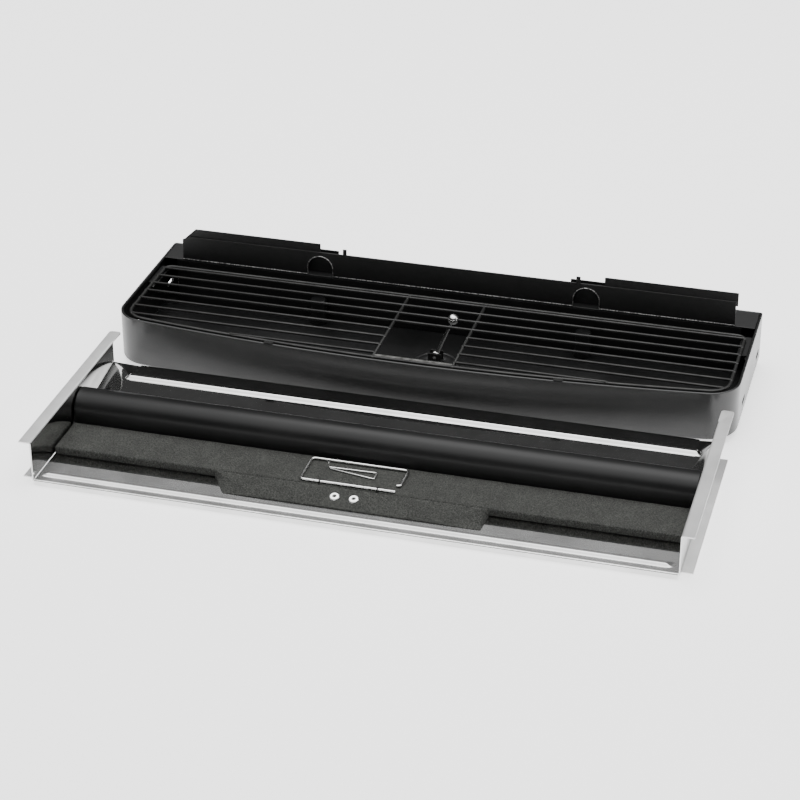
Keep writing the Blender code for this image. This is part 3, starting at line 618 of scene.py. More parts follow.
def tray_rows():
    """Distances back of the grid's rows, close together where the sheet bends."""
    rows = [FIRST_ROW] + [0.0020 + 0.0006 * step for step in range(27)]
    rows += spread([0.0195, BRUSHED_TO, DECK_START - 0.0050], 0.012)
    rows += spread([DECK_START - 0.0045, DECK_START + 0.0015], 0.0005)
    rows += spread([DECK_START + 0.0040, REAR_BEAD - 0.0060], 0.004)
    rows += spread([REAR_BEAD - 0.0055, REAR_BEAD + 0.0055], 0.0006)
    return rows + spread([REAR_BEAD + 0.0060, LAST_ROW], 0.003)


def make_tray():
    half = INNER - GAP
    rows = tray_rows()
    columns = spread([-half, -0.2350], 0.0012) + spread([-0.2300, 0.2350], 0.012)
    columns += spread([0.2400, half], 0.0012)
    bm = bmesh.new()
    bmesh.ops.create_grid(bm, x_segments=len(columns) - 1, y_segments=len(rows) - 1, size=1.0)
    for corner in bm.verts:
        x = columns[round((corner.co.x + 1) / 2 * (len(columns) - 1))]
        distance = rows[round((corner.co.y + 1) / 2 * (len(rows) - 1))]
        corner.co = (x, back(distance), tray_height(x, distance))
    face_towards(bm, (0, 0, 1))
    fold_tray_lips(bm)
    thicken(bm, TRAY_SHEET)
    for face in bm.faces:
        face.material_index = 1 if face.calc_center_median().y < back(BRUSHED_TO) else 0
    tray = place(bm, "tray_pressing", POLISHED, "tray", ["tray_floor"], "polished_steel", smooth=55)
    tray.data.materials.append(BRUSHED)
    return tray


def fold_tray_lips(bm):
    """Fold the front and rear edges down to the ground, round their bends."""
    for edge_y, step in ((back(FIRST_ROW), -1), (back(LAST_ROW), 1)):
        rim = [e for e in bm.edges if e.is_boundary and all(abs(v.co.y - edge_y) < 1e-6 for v in e.verts)]
        for out, drop in ((0.0005, 0.0002), (0.0003, 0.0008), (0.0, 0.05)):
            moved, rim = pull_edges(bm, rim)
            for corner in moved:
                corner.co.y += step * out
                corner.co.z = max(0.0, corner.co.z - drop)


make_tray()

# %% [markdown]
# ## The channel rails
# Each rail is a channel of thin sheet, open to the outside so that a runner fits in it. The web stops behind
# the tray, but the top flange runs on and ends with two rounded corners. The web's inner face, towards the
# tray, is as bright as the tray itself.

# %% Fold the rails
RAIL_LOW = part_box("rail_right")[0].z
RAIL_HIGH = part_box("rail_right")[1].z
RAIL_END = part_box("rail_right")[1].y - FRONT
WEB_END = 0.1867
FOOT_START = 0.0045
RAIL_SHEET = 0.0012
RAIL_BEND = 0.0016
FLANGE_CORNER = 0.0028


def make_rail(side):
    name = "left" if side < 0 else "right"
    bm = bmesh.new()
    middle = [(HALF, RAIL_LOW), (INNER, RAIL_LOW), (INNER, RAIL_HIGH), (HALF, RAIL_HIGH)]
    pull_line(bm, [(x, back(0), z) for x, z in middle], (0, RAIL_END, 0))
    for distance in (WEB_END, FOOT_START):
        cut_across(bm, (0, back(distance), 0), (0, 1, 0))
    beyond = [f for f in bm.faces if f.calc_center_median().y > back(WEB_END) and
              f.calc_center_median().z < RAIL_HIGH - 0.0001]
    short = [f for f in bm.faces if f.calc_center_median().y < back(FOOT_START) and
             f.calc_center_median().z < RAIL_LOW + 0.0001]
    bmesh.ops.delete(bm, geom=beyond + short, context="FACES")
    round_folds(bm, RAIL_BEND)
    round_flange_corners(bm)
    face_towards(bm, (-1, 0, 0))
    thicken(bm, -RAIL_SHEET if side_faces_inward(bm) else RAIL_SHEET)
    bmesh.ops.scale(bm, vec=(side, 1, 1), verts=bm.verts)
    if side < 0:
        bmesh.ops.reverse_faces(bm, faces=bm.faces)
    clamp_to(bm, "rail_" + name)
    bm.normal_update()
    for face in bm.faces:
        face.material_index = 1 if face.normal.x * side < -0.9 else 0
    rail = place(bm, "channel_rail_" + name, SATIN, "tray", ["rail_" + name], "satin_steel",
                 rounding=0.00022)
    rail.data.materials.append(POLISHED)
    return rail


def side_faces_inward(bm):
    """Whether Solidify would put the wall on the inner side of the web."""
    test = bm.copy()
    thicken(test, RAIL_SHEET)
    outside = min(v.co.x for v in test.verts) < INNER - 0.0002
    test.free()
    return outside


def round_flange_corners(bm):
    """Round the two free corners at the rear end of the top flange."""
    corners = [v for v in bm.verts if abs(v.co.y - back(RAIL_END)) < 1e-6 and len(v.link_edges) == 2]
    bevel(bm, corners, FLANGE_CORNER, 5, affect="VERTICES")


def clamp_to(bm, node):
    """Keep a piece inside its CAD node's box, to a hundredth of a millimetre."""
    low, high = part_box(node)
    for corner in bm.verts:
        corner.co = [min(high[axis], max(low[axis], corner.co[axis])) for axis in range(3)]


for side in (-1, 1):
    make_rail(side)

# %% [markdown]
# ## The foam
# The pad is cut from flat foam sheet, and so is the tongue, which is shaved down to a thin front edge. Cut
# foam has soft edges and a face that is never quite flat. The blocks are divided finely, their edges are
# rounded, and each point is moved by a little slow noise.


# %% Tongue sizes
TONGUE_FRONT = 0.0212
TONGUE_BACK = 0.0437
TONGUE_LIP = 0.0012
TONGUE_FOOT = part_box("foam_tongue")[0].z
TONGUE_CREST = (-0.0859, 0.0650)
TONGUE_SPREAD = (-0.1128, 0.1075)
TONGUE_REAR = (-0.1272, 0.1093)


# %% Foam blocks
FOAM_SPACING = 0.0045
PAD_OVERHANG = 0.0009


def soften_foam(bm, rounding, rough):
    """Round a block's edges, divide it and let its faces wave a little."""
    bevel(bm, bm.edges[:], rounding, 3)
    low = Vector([min(v.co[axis] for v in bm.verts) for axis in range(3)])
    high = Vector([max(v.co[axis] for v in bm.verts) for axis in range(3)])
    for axis in range(3):
        normal = Vector([1.0 if index == axis else 0.0 for index in range(3)])
        count = int((high[axis] - low[axis]) / FOAM_SPACING)
        for step in range(1, count):
            cut_across(bm, low + normal * (high[axis] - low[axis]) * step / count, normal)
    bm.normal_update()
    shifts = [v.normal * (noise.noise(v.co * 70.0) * rough - rough) for v in bm.verts]
    for corner, shift in zip(bm.verts, shifts):
        corner.co += shift


def make_foam_pad():
    """The pad. Its lower front edge hangs a little over the plate below."""
    low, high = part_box("foam_pad")
    bm = bmesh.new()
    block(bm, low, high)
    soften_foam(bm, 0.0012, 0.00016)
    for corner in bm.verts:
        if corner.co.y < low.y + 0.0020 and corner.co.z < low.z + 0.0016:
            corner.co.z -= PAD_OVERHANG
    pad = place(bm, "foam_pad_sheet", FOAM, "insert", ["foam_pad"], "black_foam", smooth=180)


def make_foam_tongue():
    """The wedge in front of the pad. Its ends spread outwards towards the foot."""
    foot, top = TONGUE_FOOT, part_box("foam_tongue")[1].z
    rear, front = back(TONGUE_BACK) - 0.0001, back(TONGUE_FRONT)
    left, right = TONGUE_REAR
    lower = [(TONGUE_SPREAD[0], front, foot), (TONGUE_SPREAD[1], front, foot), (right, rear, foot),
             (left, rear, foot)]
    upper = [(TONGUE_CREST[0], front, foot + TONGUE_LIP), (TONGUE_CREST[1], front, foot + TONGUE_LIP),
             (right, rear, top), (left, rear, top)]
    bm = bmesh.new()
    bottom = [bm.verts.new(corner) for corner in lower]
    crest = [bm.verts.new(corner) for corner in upper]
    bm.faces.new(bottom[::-1])
    bm.faces.new(crest)
    for index in range(4):
        after = (index + 1) % 4
        bm.faces.new([bottom[index], bottom[after], crest[after], crest[index]])
    outward(bm)
    soften_foam(bm, 0.0004, 0.00010)
    tongue = place(bm, "foam_tongue_sheet", FOAM, "insert", ["foam_tongue"], "black_foam", smooth=180)


make_foam_pad()
make_foam_tongue()

# %% [markdown]
# ## The bolster
# Behind the foam lies a smooth bolster with a steep front and a rounded top. One line gives its section, and
# the line is pulled across the tray. Both ends are closed and their edges rounded.


# %% Bolster
BOLSTER_RADIUS = 0.0152
BOLSTER_INSET = 0.0160
BOLSTER_FOOT = 0.0100
BOLSTER_LEAN = 0.0004


def arc(centre, radius, start, end, steps):
    """Points on a circular arc, angles in degrees."""
    angles = [math.radians(start + (end - start) * step / steps) for step in range(steps + 1)]
    return [(centre[0] + radius * math.cos(a), centre[1] + radius * math.sin(a)) for a in angles]


def bolster_section():
    """The section as (y, z): a foot, a leaning front, two rounded shoulders and a leaning rear."""
    low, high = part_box("bolster_shell")
    front, rear, foot, crown = low.y, high.y, low.z, high.z - BOLSTER_RADIUS
    line = [(front, foot), (front + BOLSTER_LEAN, foot + BOLSTER_FOOT)]
    line += arc((front + BOLSTER_INSET, crown), BOLSTER_RADIUS, 172, 90, 12)
    line += arc((rear - BOLSTER_INSET, crown), BOLSTER_RADIUS, 90, 8, 12)[1:]
    return line + [(rear - BOLSTER_LEAN, foot + BOLSTER_FOOT), (rear, foot)]


def make_bolster():
    low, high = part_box("bolster_cap_left")[0].x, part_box("bolster_cap_right")[1].x
    bm = bmesh.new()
    pull_outline(bm, [(low, y, z) for y, z in bolster_section()], (high - low, 0, 0))
    caps = [f for f in bm.faces if len(f.verts) > 4]
    bevel(bm, list({edge for face in caps for edge in face.edges}), 0.0010, 3)
    place(bm, "bolster", SKIN, "insert", ["bolster_shell", "bolster_cap_left", "bolster_cap_right"],
          "black_plastic", smooth=50)


make_bolster()

# %% [markdown]
# The thin plate under the foam is only seen from below. It keeps its own shape and gets the black rubber's
# finish, because the pad's front edge hangs down over it and no light line may show there.

# %% Plate under the insert
dress("insert_backing", RUBBER)

# %% [markdown]
# ## Rivets, loop and hairpin
# The two rivets are hollow: a broad flange with a rolled outer edge and a dark hole in the middle. Half of
# the section is spun round and set square to the tongue's slope.

# %% Rivets
RIVET_Y = 0.0332
SLOPE = math.atan2(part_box("foam_tongue")[1].z - TONGUE_FOOT - TONGUE_LIP, TONGUE_BACK - TONGUE_FRONT)


def make_rivet(side):
    low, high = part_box("rivet_" + side)
    middle = (low + high) / 2
    radius = (high.x - low.x) / 2
    surface = TONGUE_FOOT + TONGUE_LIP + (RIVET_Y - TONGUE_FRONT) * math.tan(SLOPE)
    outline = [(0.0013, -0.0034), (0.0013, 0.0006), (0.0016, 0.0010), (0.0022, 0.0012), (0.0032, 0.0011),
               (radius - 0.0007, 0.0010), (radius - 0.0002, 0.0007), (radius, 0.0003),
               (radius - 0.0004, 0.00015), (0.0021, 0.00015), (0.0021, -0.0034), (0.0013, -0.0034)]
    matrix = Matrix.Translation((middle.x, back(RIVET_Y), surface)) @ Matrix.Rotation(SLOPE, 4, "X")
    bm = bmesh.new()
    turn_outline(bm, outline, matrix)
    outward(bm)
    place(bm, "hollow_rivet_" + side, BRIGHT, "insert", ["rivet_" + side], "bright_wire", smooth=60)


for side in ("left", "right"):
    make_rivet(side)

# %% [markdown]
# The loop is 2 mm wire bent into a rectangle that doesn't close: the last bend stops short of the front right
# corner and hooks inwards. The hairpin lies inside it, a long narrow V with one end turned up.


# %% Wire loop
LOOP_WIDTH = 0.0843
LOOP_BEND = 0.0042
HAIRPIN_RADIUS = 0.0006


def make_loop():
    low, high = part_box("bail")
    radius = (high.z - low.z) / 2
    level = (high.z + low.z) / 2
    left, right = low.x + radius, low.x + radius + LOOP_WIDTH
    front, rear = low.y + radius, high.y - radius
    corners = [(right - 0.0038, front + 0.0094, level), (right - 0.0004, front + 0.0100, level),
               (right, rear, level), (left, rear, level), (left, front, level),
               (right - 0.0020, front, level)]
    path = bend(corners[0:3], 0.0018, 5)[:-1]
    path += bend(corners[1:5], LOOP_BEND, 8)[1:-1]
    path += bend(corners[3:6], LOOP_BEND, 8)[1:]
    bm = bmesh.new()
    wire(bm, path, radius, sides=14)
    outward(bm)
    place(bm, "wire_loop", BRIGHT, "bail", ["bail"], "bright_wire", smooth=60)


def make_hairpin():
    low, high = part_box("hairpin")
    level = low.z + HAIRPIN_RADIUS
    apex = Vector((-0.0355, back(0.0714), level))
    far, near = Vector((0.0062, back(0.0724), level)), Vector((0.0062, back(0.0624), level))
    end = Vector((-0.0336, back(0.0694), level))
    path = bend([apex + Vector((0, 0, 0.0050)), apex, far], 0.0012, 5)[:-1]
    path += bend([apex, far, near, end], 0.0016, 6)[1:]
    bm = bmesh.new()
    wire(bm, path, HAIRPIN_RADIUS, sides=12)
    outward(bm)
    place(bm, "hairpin_wire", BRIGHT, "insert", ["hairpin"], "bright_wire", smooth=60)


make_loop()
make_hairpin()


# %% [markdown]
# Two black staples hold the loop's front leg to the foam, and let it turn.


# %% Staples
STAPLE_RADIUS = 0.0005


def make_staple(side):
    node = "bail_staple_" + side
    low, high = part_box(node)
    middle = (low + high) / 2
    reach = (high.y - low.y) / 2 - STAPLE_RADIUS
    crown = arc((middle.y, high.z - STAPLE_RADIUS - reach), reach, 180, 0, 12)
    line = [(crown[0][0], low.z)] + crown + [(crown[-1][0], low.z)]
    bm = bmesh.new()
    wire(bm, [(middle.x, y, z) for y, z in line], STAPLE_RADIUS, sides=10)
    outward(bm)
    place(bm, "loop_staple_" + side, SKIN, "insert", [node], "bright_wire", smooth=60)


for side in ("left", "right"):
    make_staple(side)

# %% [markdown]
# ## The trough
# The trough is a deep pan of pressed sheet: a gently bowed front, round front corners and a soft bottom edge.
# Its plan is worked out once from three radii. The walls are pulled up from it, the bottom edge is beveled in
# many steps, and the wall thickness comes last.

# %% Plan of the trough
BOW = 2.05
CORNER = 0.0280
REAR_CORNER = 0.0030
TROUGH_FRONT = 0.1970
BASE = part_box("trough_shell")[0].z
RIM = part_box("trough_shell")[1].z
WALL = 0.0020
BASE_RADIUS = 0.0120
RIM_DROP = 0.0006


def corner_centre():
    """Where the round front corners are centred: (x, distance back)."""
    rise = math.sqrt((BOW - CORNER) ** 2 - (HALF - CORNER) ** 2)
    return HALF - CORNER, TROUGH_FRONT + BOW - rise


def trough_front(inset=0.0):
    """The plan from one straight side round the bowed front to the other, as (x, distance back)."""
    x, distance = corner_centre()
    spread_angle = math.degrees(math.asin((HALF - CORNER) / (BOW - CORNER)))
    line = arc((-x, distance), CORNER - inset, 180, 270 - spread_angle, 14)
    line += arc((0, TROUGH_FRONT + BOW), BOW - inset, 270 - spread_angle, 270 + spread_angle, 36)[1:-1]
    return line + arc((x, distance), CORNER - inset, 270 + spread_angle, 360, 14)


def trough_plan(inset=0.0):
    """The whole plan, closed at the rear by two small corners."""
    rear = REAR - FRONT - inset
    small = max(REAR_CORNER - inset, 0.0006)
    x = HALF - inset - small
    line = trough_front(inset) + arc((x, rear - small), small, 0, 90, 5)
    return line + arc((-x, rear - small), small, 90, 180, 5)


def bow_front(x, inset=0.0):
    """Distance back of the bowed front at a place across."""
    return TROUGH_FRONT + BOW - math.sqrt((BOW - inset) ** 2 - x * x)


print("plan points", len(trough_plan()))


# %% Cut one shape out of another
def carve(piece, cutters):
    """Cut shapes out of a piece for good, and remove the cutters."""
    for cutter in cutters:
        step = piece.modifiers.new("cut", "BOOLEAN")
        step.operation = "DIFFERENCE"
        step.solver = "EXACT"
        step.object = cutter
        piece.modifiers.move(len(piece.modifiers) - 1, 0)
    bpy.context.view_layer.update()
    edge = [m for m in piece.modifiers if m.type == "BEVEL"]
    for modifier in edge:
        modifier.show_viewport = False
    bpy.context.view_layer.update()
    cut = bpy.data.meshes.new_from_object(piece.evaluated_get(bpy.context.evaluated_depsgraph_get()))
    for modifier in edge:
        modifier.show_viewport = True
    cut.materials.clear()
    for material in piece.data.materials:
        cut.materials.append(material)
    piece.data = cut
    for modifier in [m for m in piece.modifiers if m.type == "BOOLEAN"]:
        piece.modifiers.remove(modifier)
    for cutter in cutters:
        bpy.data.objects.remove(cutter, do_unlink=True)


def cutter_block(low, high, rounding=0.0):
    """A block used only for cutting."""
    bm = bmesh.new()
    block(bm, low, high)
    if rounding:
        bevel(bm, bm.edges[:], rounding, 4)
    mesh = bpy.data.meshes.new("cutter")
    bm.to_mesh(mesh)
    bm.free()
    cutter = bpy.data.objects.new("cutter", mesh)
    bpy.context.scene.collection.objects.link(cutter)
    return cutter


# %% Raise the trough
SLOT_DISTANCES = (0.2692, 0.3564)
SLOT_HEIGHT = 0.0190
SLOT_REACH = Vector((0.0060, 0.0080, 0.0025))
TROUGH_SHARP = 40


def make_trough():
    bm = bmesh.new()
    base = bm.faces.new([bm.verts.new((x, back(y), BASE)) for x, y in trough_plan()])
    pulled = bmesh.ops.extrude_edge_only(bm, edges=base.edges[:])
    bmesh.ops.translate(bm, vec=(0, 0, RIM - BASE - RIM_DROP), verts=new_verts(pulled))
    bmesh.ops.recalc_face_normals(bm, faces=bm.faces)
    if base.normal.z > 0:
        bmesh.ops.reverse_faces(bm, faces=bm.faces)
    bevel(bm, base.edges[:], BASE_RADIUS, 8)
    bmesh.ops.remove_doubles(bm, verts=bm.verts, dist=0.000001)
    thicken(bm, WALL)
    clamp_to(bm, "trough_shell")
    trough = place(bm, "trough_pan", ENAMEL, "trough", ["trough_shell"], "black_enamel",
                   smooth=TROUGH_SHARP)
    carve(trough, slot_cutters())
    trough.data.shade_smooth()
    trough.data.set_sharp_from_angle(angle=math.radians(TROUGH_SHARP))


def slot_cutters():
    """Rounded cutters for the two slots in each end."""
    cutters = []
    for side in (-1, 1):
        for distance in SLOT_DISTANCES:
            middle = Vector((side * HALF, back(distance), SLOT_HEIGHT))
            cutters.append(cutter_block(middle - SLOT_REACH, middle + SLOT_REACH, 0.0020))
    return cutters


make_trough()

# %% [markdown]
# The sheet's upper edge is rolled over into a thin bead. It is a closed wire that follows the same plan, a
# bead's radius inside the wall.


# %% Rolled rim
RIM_RADIUS = 0.0013


def make_rim():
    path = [(x, back(y), RIM - RIM_RADIUS) for x, y in trough_plan(RIM_RADIUS)]
    bm = bmesh.new()
    wire(bm, path, RIM_RADIUS, sides=12, closed=True)
    outward(bm)
    place(bm, "rolled_rim", ENAMEL, "trough", slot="black_enamel", smooth=60)


make_rim()

# %% [markdown]
# The flat ledge behind the rack and the wall under it are plain sheets. A box with a small bevel is the right
# tool, as long as its edges catch the light like sheet metal does.


# %% Ledge and rear wall
def plain_sheet(node, name, material, body, slot, rounding):
    """A CAD node's box made again with softened edges."""
    low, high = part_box(node)
    bm = bmesh.new()
    block(bm, low, high)
    return place(bm, name, material, body, [node], slot, rounding=rounding, segments=3)


plain_sheet("rear_ledge", "ledge_sheet", PLATE_ENAMEL, "trough", "black_enamel", 0.0004)
plain_sheet("rear_wall", "inner_rear_wall", ENAMEL, "trough", "black_enamel", 0.0004)

# %% [markdown]
# ## The back plate
# The plate is cut from sheet with two arches at its foot and two narrow tabs on top. Its front view is drawn
# once, with the arches as half circles, and pulled to its thickness.

# %% Outline of the back plate
PLATE_LOW, PLATE_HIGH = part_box("back_plate")
PLATE_EDGE = 0.0003
PLATE_TOP = 0.0753
ARCH_X = 0.1264
ARCH_RADIUS = 0.01225
ARCH_SPRING = PLATE_LOW.z + 0.0196 - ARCH_RADIUS
# Each tab is (middle, width, top).
TAB_LEFT = (-0.1025, 0.0036, 0.0808)
TAB_RIGHT = (0.1185, 0.0040, PLATE_HIGH.z)


def arch_line(middle, steps):
    """One arch from its left foot to its right foot, as (x, z)."""
    foot = PLATE_LOW.z
    curve = arc((middle, ARCH_SPRING), ARCH_RADIUS, 180, 0, steps)
    return [(middle - ARCH_RADIUS, foot)] + curve + [(middle + ARCH_RADIUS, foot)]


def plate_line():
    """The plate's front view as (x, z), from its left foot round to its cut left shoulder."""
    half, foot = PLATE_HIGH.x, PLATE_LOW.z
    line = [(-half, foot)] + arch_line(-ARCH_X, 24) + arch_line(ARCH_X, 24)
    line += [(half, foot), (half, PLATE_TOP)]
    for middle, width, top in (TAB_RIGHT, TAB_LEFT):
        line += [(middle + width / 2, PLATE_TOP), (middle + width / 2, top),
                 (middle - width / 2, top), (middle - width / 2, PLATE_TOP)]
    return line + [(-half + 0.0070, PLATE_TOP), (-half, PLATE_TOP - 0.0035)]


def make_back_plate():
    bm = bmesh.new()
    outline = [(x, PLATE_LOW.y, z) for x, z in plate_line()]
    pull_outline(bm, outline, (0, PLATE_HIGH.y - PLATE_LOW.y, 0))
    place(bm, "arched_plate", PLATE_ENAMEL, "trough", ["back_plate"], "black_enamel", rounding=PLATE_EDGE)


make_back_plate()

# %% [markdown]
# A thin bright line runs round each arch and along the foot of the plate. Fine wires of pale metal stand for
# it: a painted highlight for the light that these edges catch.


# %% Painted edge highlights
def make_glint_metal():
    paint = Paint("painted_glint_metal", Metallic=0.8)
    # Painted highlight: patches of pale metal along the wires, with darker gaps between them.
    glint_patches = paint.noise(900.0, detail=3.0).between(0.42, 0.62)
    colour = paint.mix(glint_patches, (0.10, 0.10, 0.10), (0.62, 0.62, 0.61))
    return paint.vary(Base_Color=colour, Roughness=0.30 + glint_patches * 0.2,
                      Normal=paint.bump(glint_patches, 0.3, 0.00008))


GLINT_METAL = make_glint_metal()


def make_edge_trims():
    # Pale wires on the plate's front face, a painted highlight along the arch and foot edges.
    front = PLATE_LOW.y - 0.00015
    low = PLATE_LOW.z + 0.0004
    for name, middle in (("left", -ARCH_X), ("right", ARCH_X)):
        bm = bmesh.new()
        path = [(x, front, max(z, low)) for x, z in arch_line(middle, 20)]
        wire(bm, path, 0.00045, sides=8)
        outward(bm)
        place(bm, "arch_glint_" + name, GLINT_METAL, "trough", slot="black_enamel", smooth=60)
    spans = ((-PLATE_HIGH.x, -ARCH_X - ARCH_RADIUS), (-ARCH_X + ARCH_RADIUS, ARCH_X - ARCH_RADIUS),
             (ARCH_X + ARCH_RADIUS, PLATE_HIGH.x))
    for index, (start, end) in enumerate(spans):
        bm = bmesh.new()
        straight_wire(bm, (start, front, low), (end, front, low), 0.0004, sides=8)
        outward(bm)
        place(bm, "foot_glint_%d" % (index + 1), GLINT_METAL, "trough", slot="black_enamel", smooth=60)


make_edge_trims()


# %% [markdown]
# Behind the plate stand two upright strips that rise above it; the left one has its outer corner cut off. A
# small plate stands behind each arch, so the arch looks into the dark.


# %% Upper strips and arch covers
def make_upper_strip(side, across, down):
    """A strip whose upper left corner is cut off, this far across and down."""
    node = "upper_strip_" + side
    low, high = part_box(node)
    outline = [(low.x, low.z), (high.x, low.z), (high.x, high.z), (low.x + across, high.z),
               (low.x, high.z - down)]
    bm = bmesh.new()
    pull_outline(bm, [(x, low.y, z) for x, z in outline], (0, high.y - low.y, 0))
    place(bm, "upright_strip_" + side, PLATE_ENAMEL, "trough", [node], "black_enamel",
          rounding=PLATE_EDGE)


make_upper_strip("left", 0.0105, 0.0100)
make_upper_strip("right", 0.0004, 0.0004)
for side in ("left", "right"):
    plain_sheet("arch_cover_" + side, "cover_sheet_" + side, PLATE_ENAMEL, "trough", "black_enamel",
                PLATE_EDGE)

# %% [markdown]
# ## Inside the trough
# Posts, valve seat and feet are turned pieces. Each outline starts and ends on the axis, so that the spin
# closes it.


# %% Posts, feet and valve seat
def turned_node(node, name, outline, material, body, slot):
    """A turned piece that stands where its CAD node does."""
    low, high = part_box(node)
    matrix = Matrix.Translation(((low.x + high.x) / 2, (low.y + high.y) / 2, low.z))
    bm = bmesh.new()
    turn_outline(bm, outline, matrix)
    outward(bm)
    return place(bm, name, material, body, [node], slot)


def dome(node, edge):
    """Outline of a short post as wide and high as its CAD node, with a rounded upper edge."""
    low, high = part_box(node)
    radius, height = (high.x - low.x) / 2, high.z - low.z
    line = [(0.0, 0.0), (radius - 0.0003, 0.0), (radius, 0.0003)]
    line += arc((radius - edge, height - edge), edge, 0, 90, 5)
    return line + [(0.0, height)]


for side in ("left", "right"):
    node = "post_" + side
    turned_node(node, "round_" + node, dome(node, 0.0022), ENAMEL, "trough", "black_enamel")
for corner in ("front_left", "front_right", "rear_left", "rear_right"):
    node = "foot_" + corner
    turned_node(node, "rubber_" + node, dome(node, 0.0009), RUBBER, "trough", "black_rubber")
SEAT_OUTLINE = [(0.0, 0.0), (0.0218, 0.0), (0.0220, 0.0004), (0.0216, 0.0010), (0.0190, 0.0015),
                (0.0178, 0.0010), (0.0166, 0.0014), (0.0100, 0.0014), (0.0092, 0.0009), (0.0, 0.0009)]
turned_node("valve_seat", "valve_seat_ring", SEAT_OUTLINE, ENAMEL, "trough", "black_enamel")

# %% [markdown]
# The lever turns in a small forked block. The block keeps its own shape and gets the enamel. The lever is
# made again: a hub, an arm that gets thinner towards the top, and a knob with a flattened crown.

# %% Forked block and pin
dress("valve_block", ENAMEL)
dress("valve_pin", BRIGHT)

# %% Lever and knob
PIVOT = Vector((0.0010, back(0.2848), 0.0155))
REST_LEAN = 22.4
KNOB_HEIGHT = 0.0420
LEAN = Matrix.Translation(PIVOT) @ Matrix.Rotation(math.radians(REST_LEAN), 4, "Y")


def make_lever():
    bm = bmesh.new()
    side = Matrix.Rotation(math.radians(90), 4, "X")
    hub = [(0.0018, -0.0025), (0.0038, -0.0025), (0.0042, -0.0021), (0.0042, 0.0021), (0.0038, 0.0025),
           (0.0018, 0.0025), (0.0018, -0.0025)]
    turn_outline(bm, hub, LEAN @ side)
    arm = [(0.0, 0.0026), (0.0021, 0.0026), (0.0019, 0.0080), (0.0014, 0.0340), (0.0014, 0.0392),
           (0.0, 0.0392)]
    turn_outline(bm, arm, LEAN)
    outward(bm)
    place(bm, "valve_lever_arm", BRIGHT, "lever", ["valve_lever"], "satin_steel", smooth=50)


def make_knob():
    line = [(0.0, -0.0048), (0.0020, -0.0048), (0.0024, -0.0044)]
    line += arc((0.0, 0.0), 0.0051, -55, 62, 14)
    line += [(0.0, 0.0046)]
    bm = bmesh.new()
    turn_outline(bm, line, LEAN @ Matrix.Translation((0, 0, KNOB_HEIGHT)))
    outward(bm)
    place(bm, "lever_knob", BRIGHT, "lever", ["valve_knob"], "bright_wire", smooth=50)


make_lever()
make_knob()

# %% [markdown]
# ## Brackets, screws and clips
# A small angle at each end carries the rack, held by two dome screws with a cross recess. Two spring clips
# hook over the front rim.


# %% Brackets
BRACKET_SHEET = 0.0012


def make_bracket(side):
    """Made on the right, and turned over for the left end."""
    node = "rack_bracket_" + side
    low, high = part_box(node)
    sign = -1 if side == "left" else 1
    inner, wall = sorted((abs(low.x), abs(high.x)))
    bm = bmesh.new()
    points = [(wall, low.y, low.z), (wall, low.y, high.z), (inner, low.y, high.z)]
    pull_line(bm, points, (0, high.y - low.y, 0))
    round_folds(bm, BRACKET_SHEET)
    face_towards(bm, (0, 0, 1))
    thicken(bm, BRACKET_SHEET)
    bmesh.ops.scale(bm, vec=(sign, 1, 1), verts=bm.verts)
    if sign < 0:
        bmesh.ops.reverse_faces(bm, faces=bm.faces)
    clamp_to(bm, node)
    place(bm, "rack_angle_" + side, ENAMEL, "trough", [node], "black_enamel", rounding=0.0002)


# %% Screws
RECESS_START = 0.0018
RECESS_END = 0.0040
RECESS_ARMS = ((0.0021, 0.0004), (0.0004, 0.0021))


def make_screw(side, end):
    """A dome head that looks inwards, with a cross cut into it."""
    node = "end_screw_%s_%s" % (side, end)
    low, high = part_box(node)
    sign = -1 if side == "left" else 1
    middle = (low + high) / 2
    radius = (high.y - low.y) / 2
    seat = min(abs(low.x), abs(high.x)) + 0.0024
    outline = [(0.0, 0.0023), (radius * 0.45, 0.0022), (radius * 0.80, 0.0016), (radius, 0.0006),
               (radius, 0.0), (0.0016, 0.0), (0.0016, -0.0032), (0.0, -0.0032)]
    matrix = Matrix.Translation((sign * seat, middle.y, middle.z))
    matrix = matrix @ Matrix.Rotation(math.radians(-90 * sign), 4, "Y")
    bm = bmesh.new()
    turn_outline(bm, outline, matrix)
    outward(bm)
    screw = place(bm, "dome_screw_%s_%s" % (side, end), BRIGHT, "trough", [node], "satin_steel", smooth=50)
    near, far = sorted((sign * (seat - RECESS_START), sign * (seat - RECESS_END)))
    carve(screw, [cutter_block((near, middle.y - width, middle.z - height),
                               (far, middle.y + width, middle.z + height)) for width, height in RECESS_ARMS])


# %% Clips
CLIP_SHEET = 0.0008
CLIP_HOOK = 0.0038


def make_clip(side):
    """A strip that lies on the rim, drops inside it and runs in under the rack."""
    node = "rack_clip_" + side
    low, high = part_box(node)
    drop_y, shelf = low.y + CLIP_HOOK, low.z + CLIP_SHEET
    bm = bmesh.new()
    points = [(low.x, low.y, high.z), (low.x, drop_y, high.z), (low.x, drop_y, shelf),
              (low.x, high.y, shelf)]
    pull_line(bm, points, (high.x - low.x, 0, 0))
    round_folds(bm, CLIP_SHEET)
    face_towards(bm, (0, 0, 1))
    thicken(bm, CLIP_SHEET)
    clamp_to(bm, node)
    place(bm, "spring_clip_" + side, RACK_FINISH, "trough", [node], "bright_wire", rounding=0.00015)


for side in ("left", "right"):
    make_bracket(side)
    make_clip(side)
    for end in ("front", "rear"):
        make_screw(side, end)

# %% [markdown]
# ## The wire rack
# The rack is welded from drawn wire: a frame wire that follows the bowed front, eight straight rows, two
# rods beside the opening in the middle, and a flat strip to lift it by. The weld leaves a small bead at
# every joint.

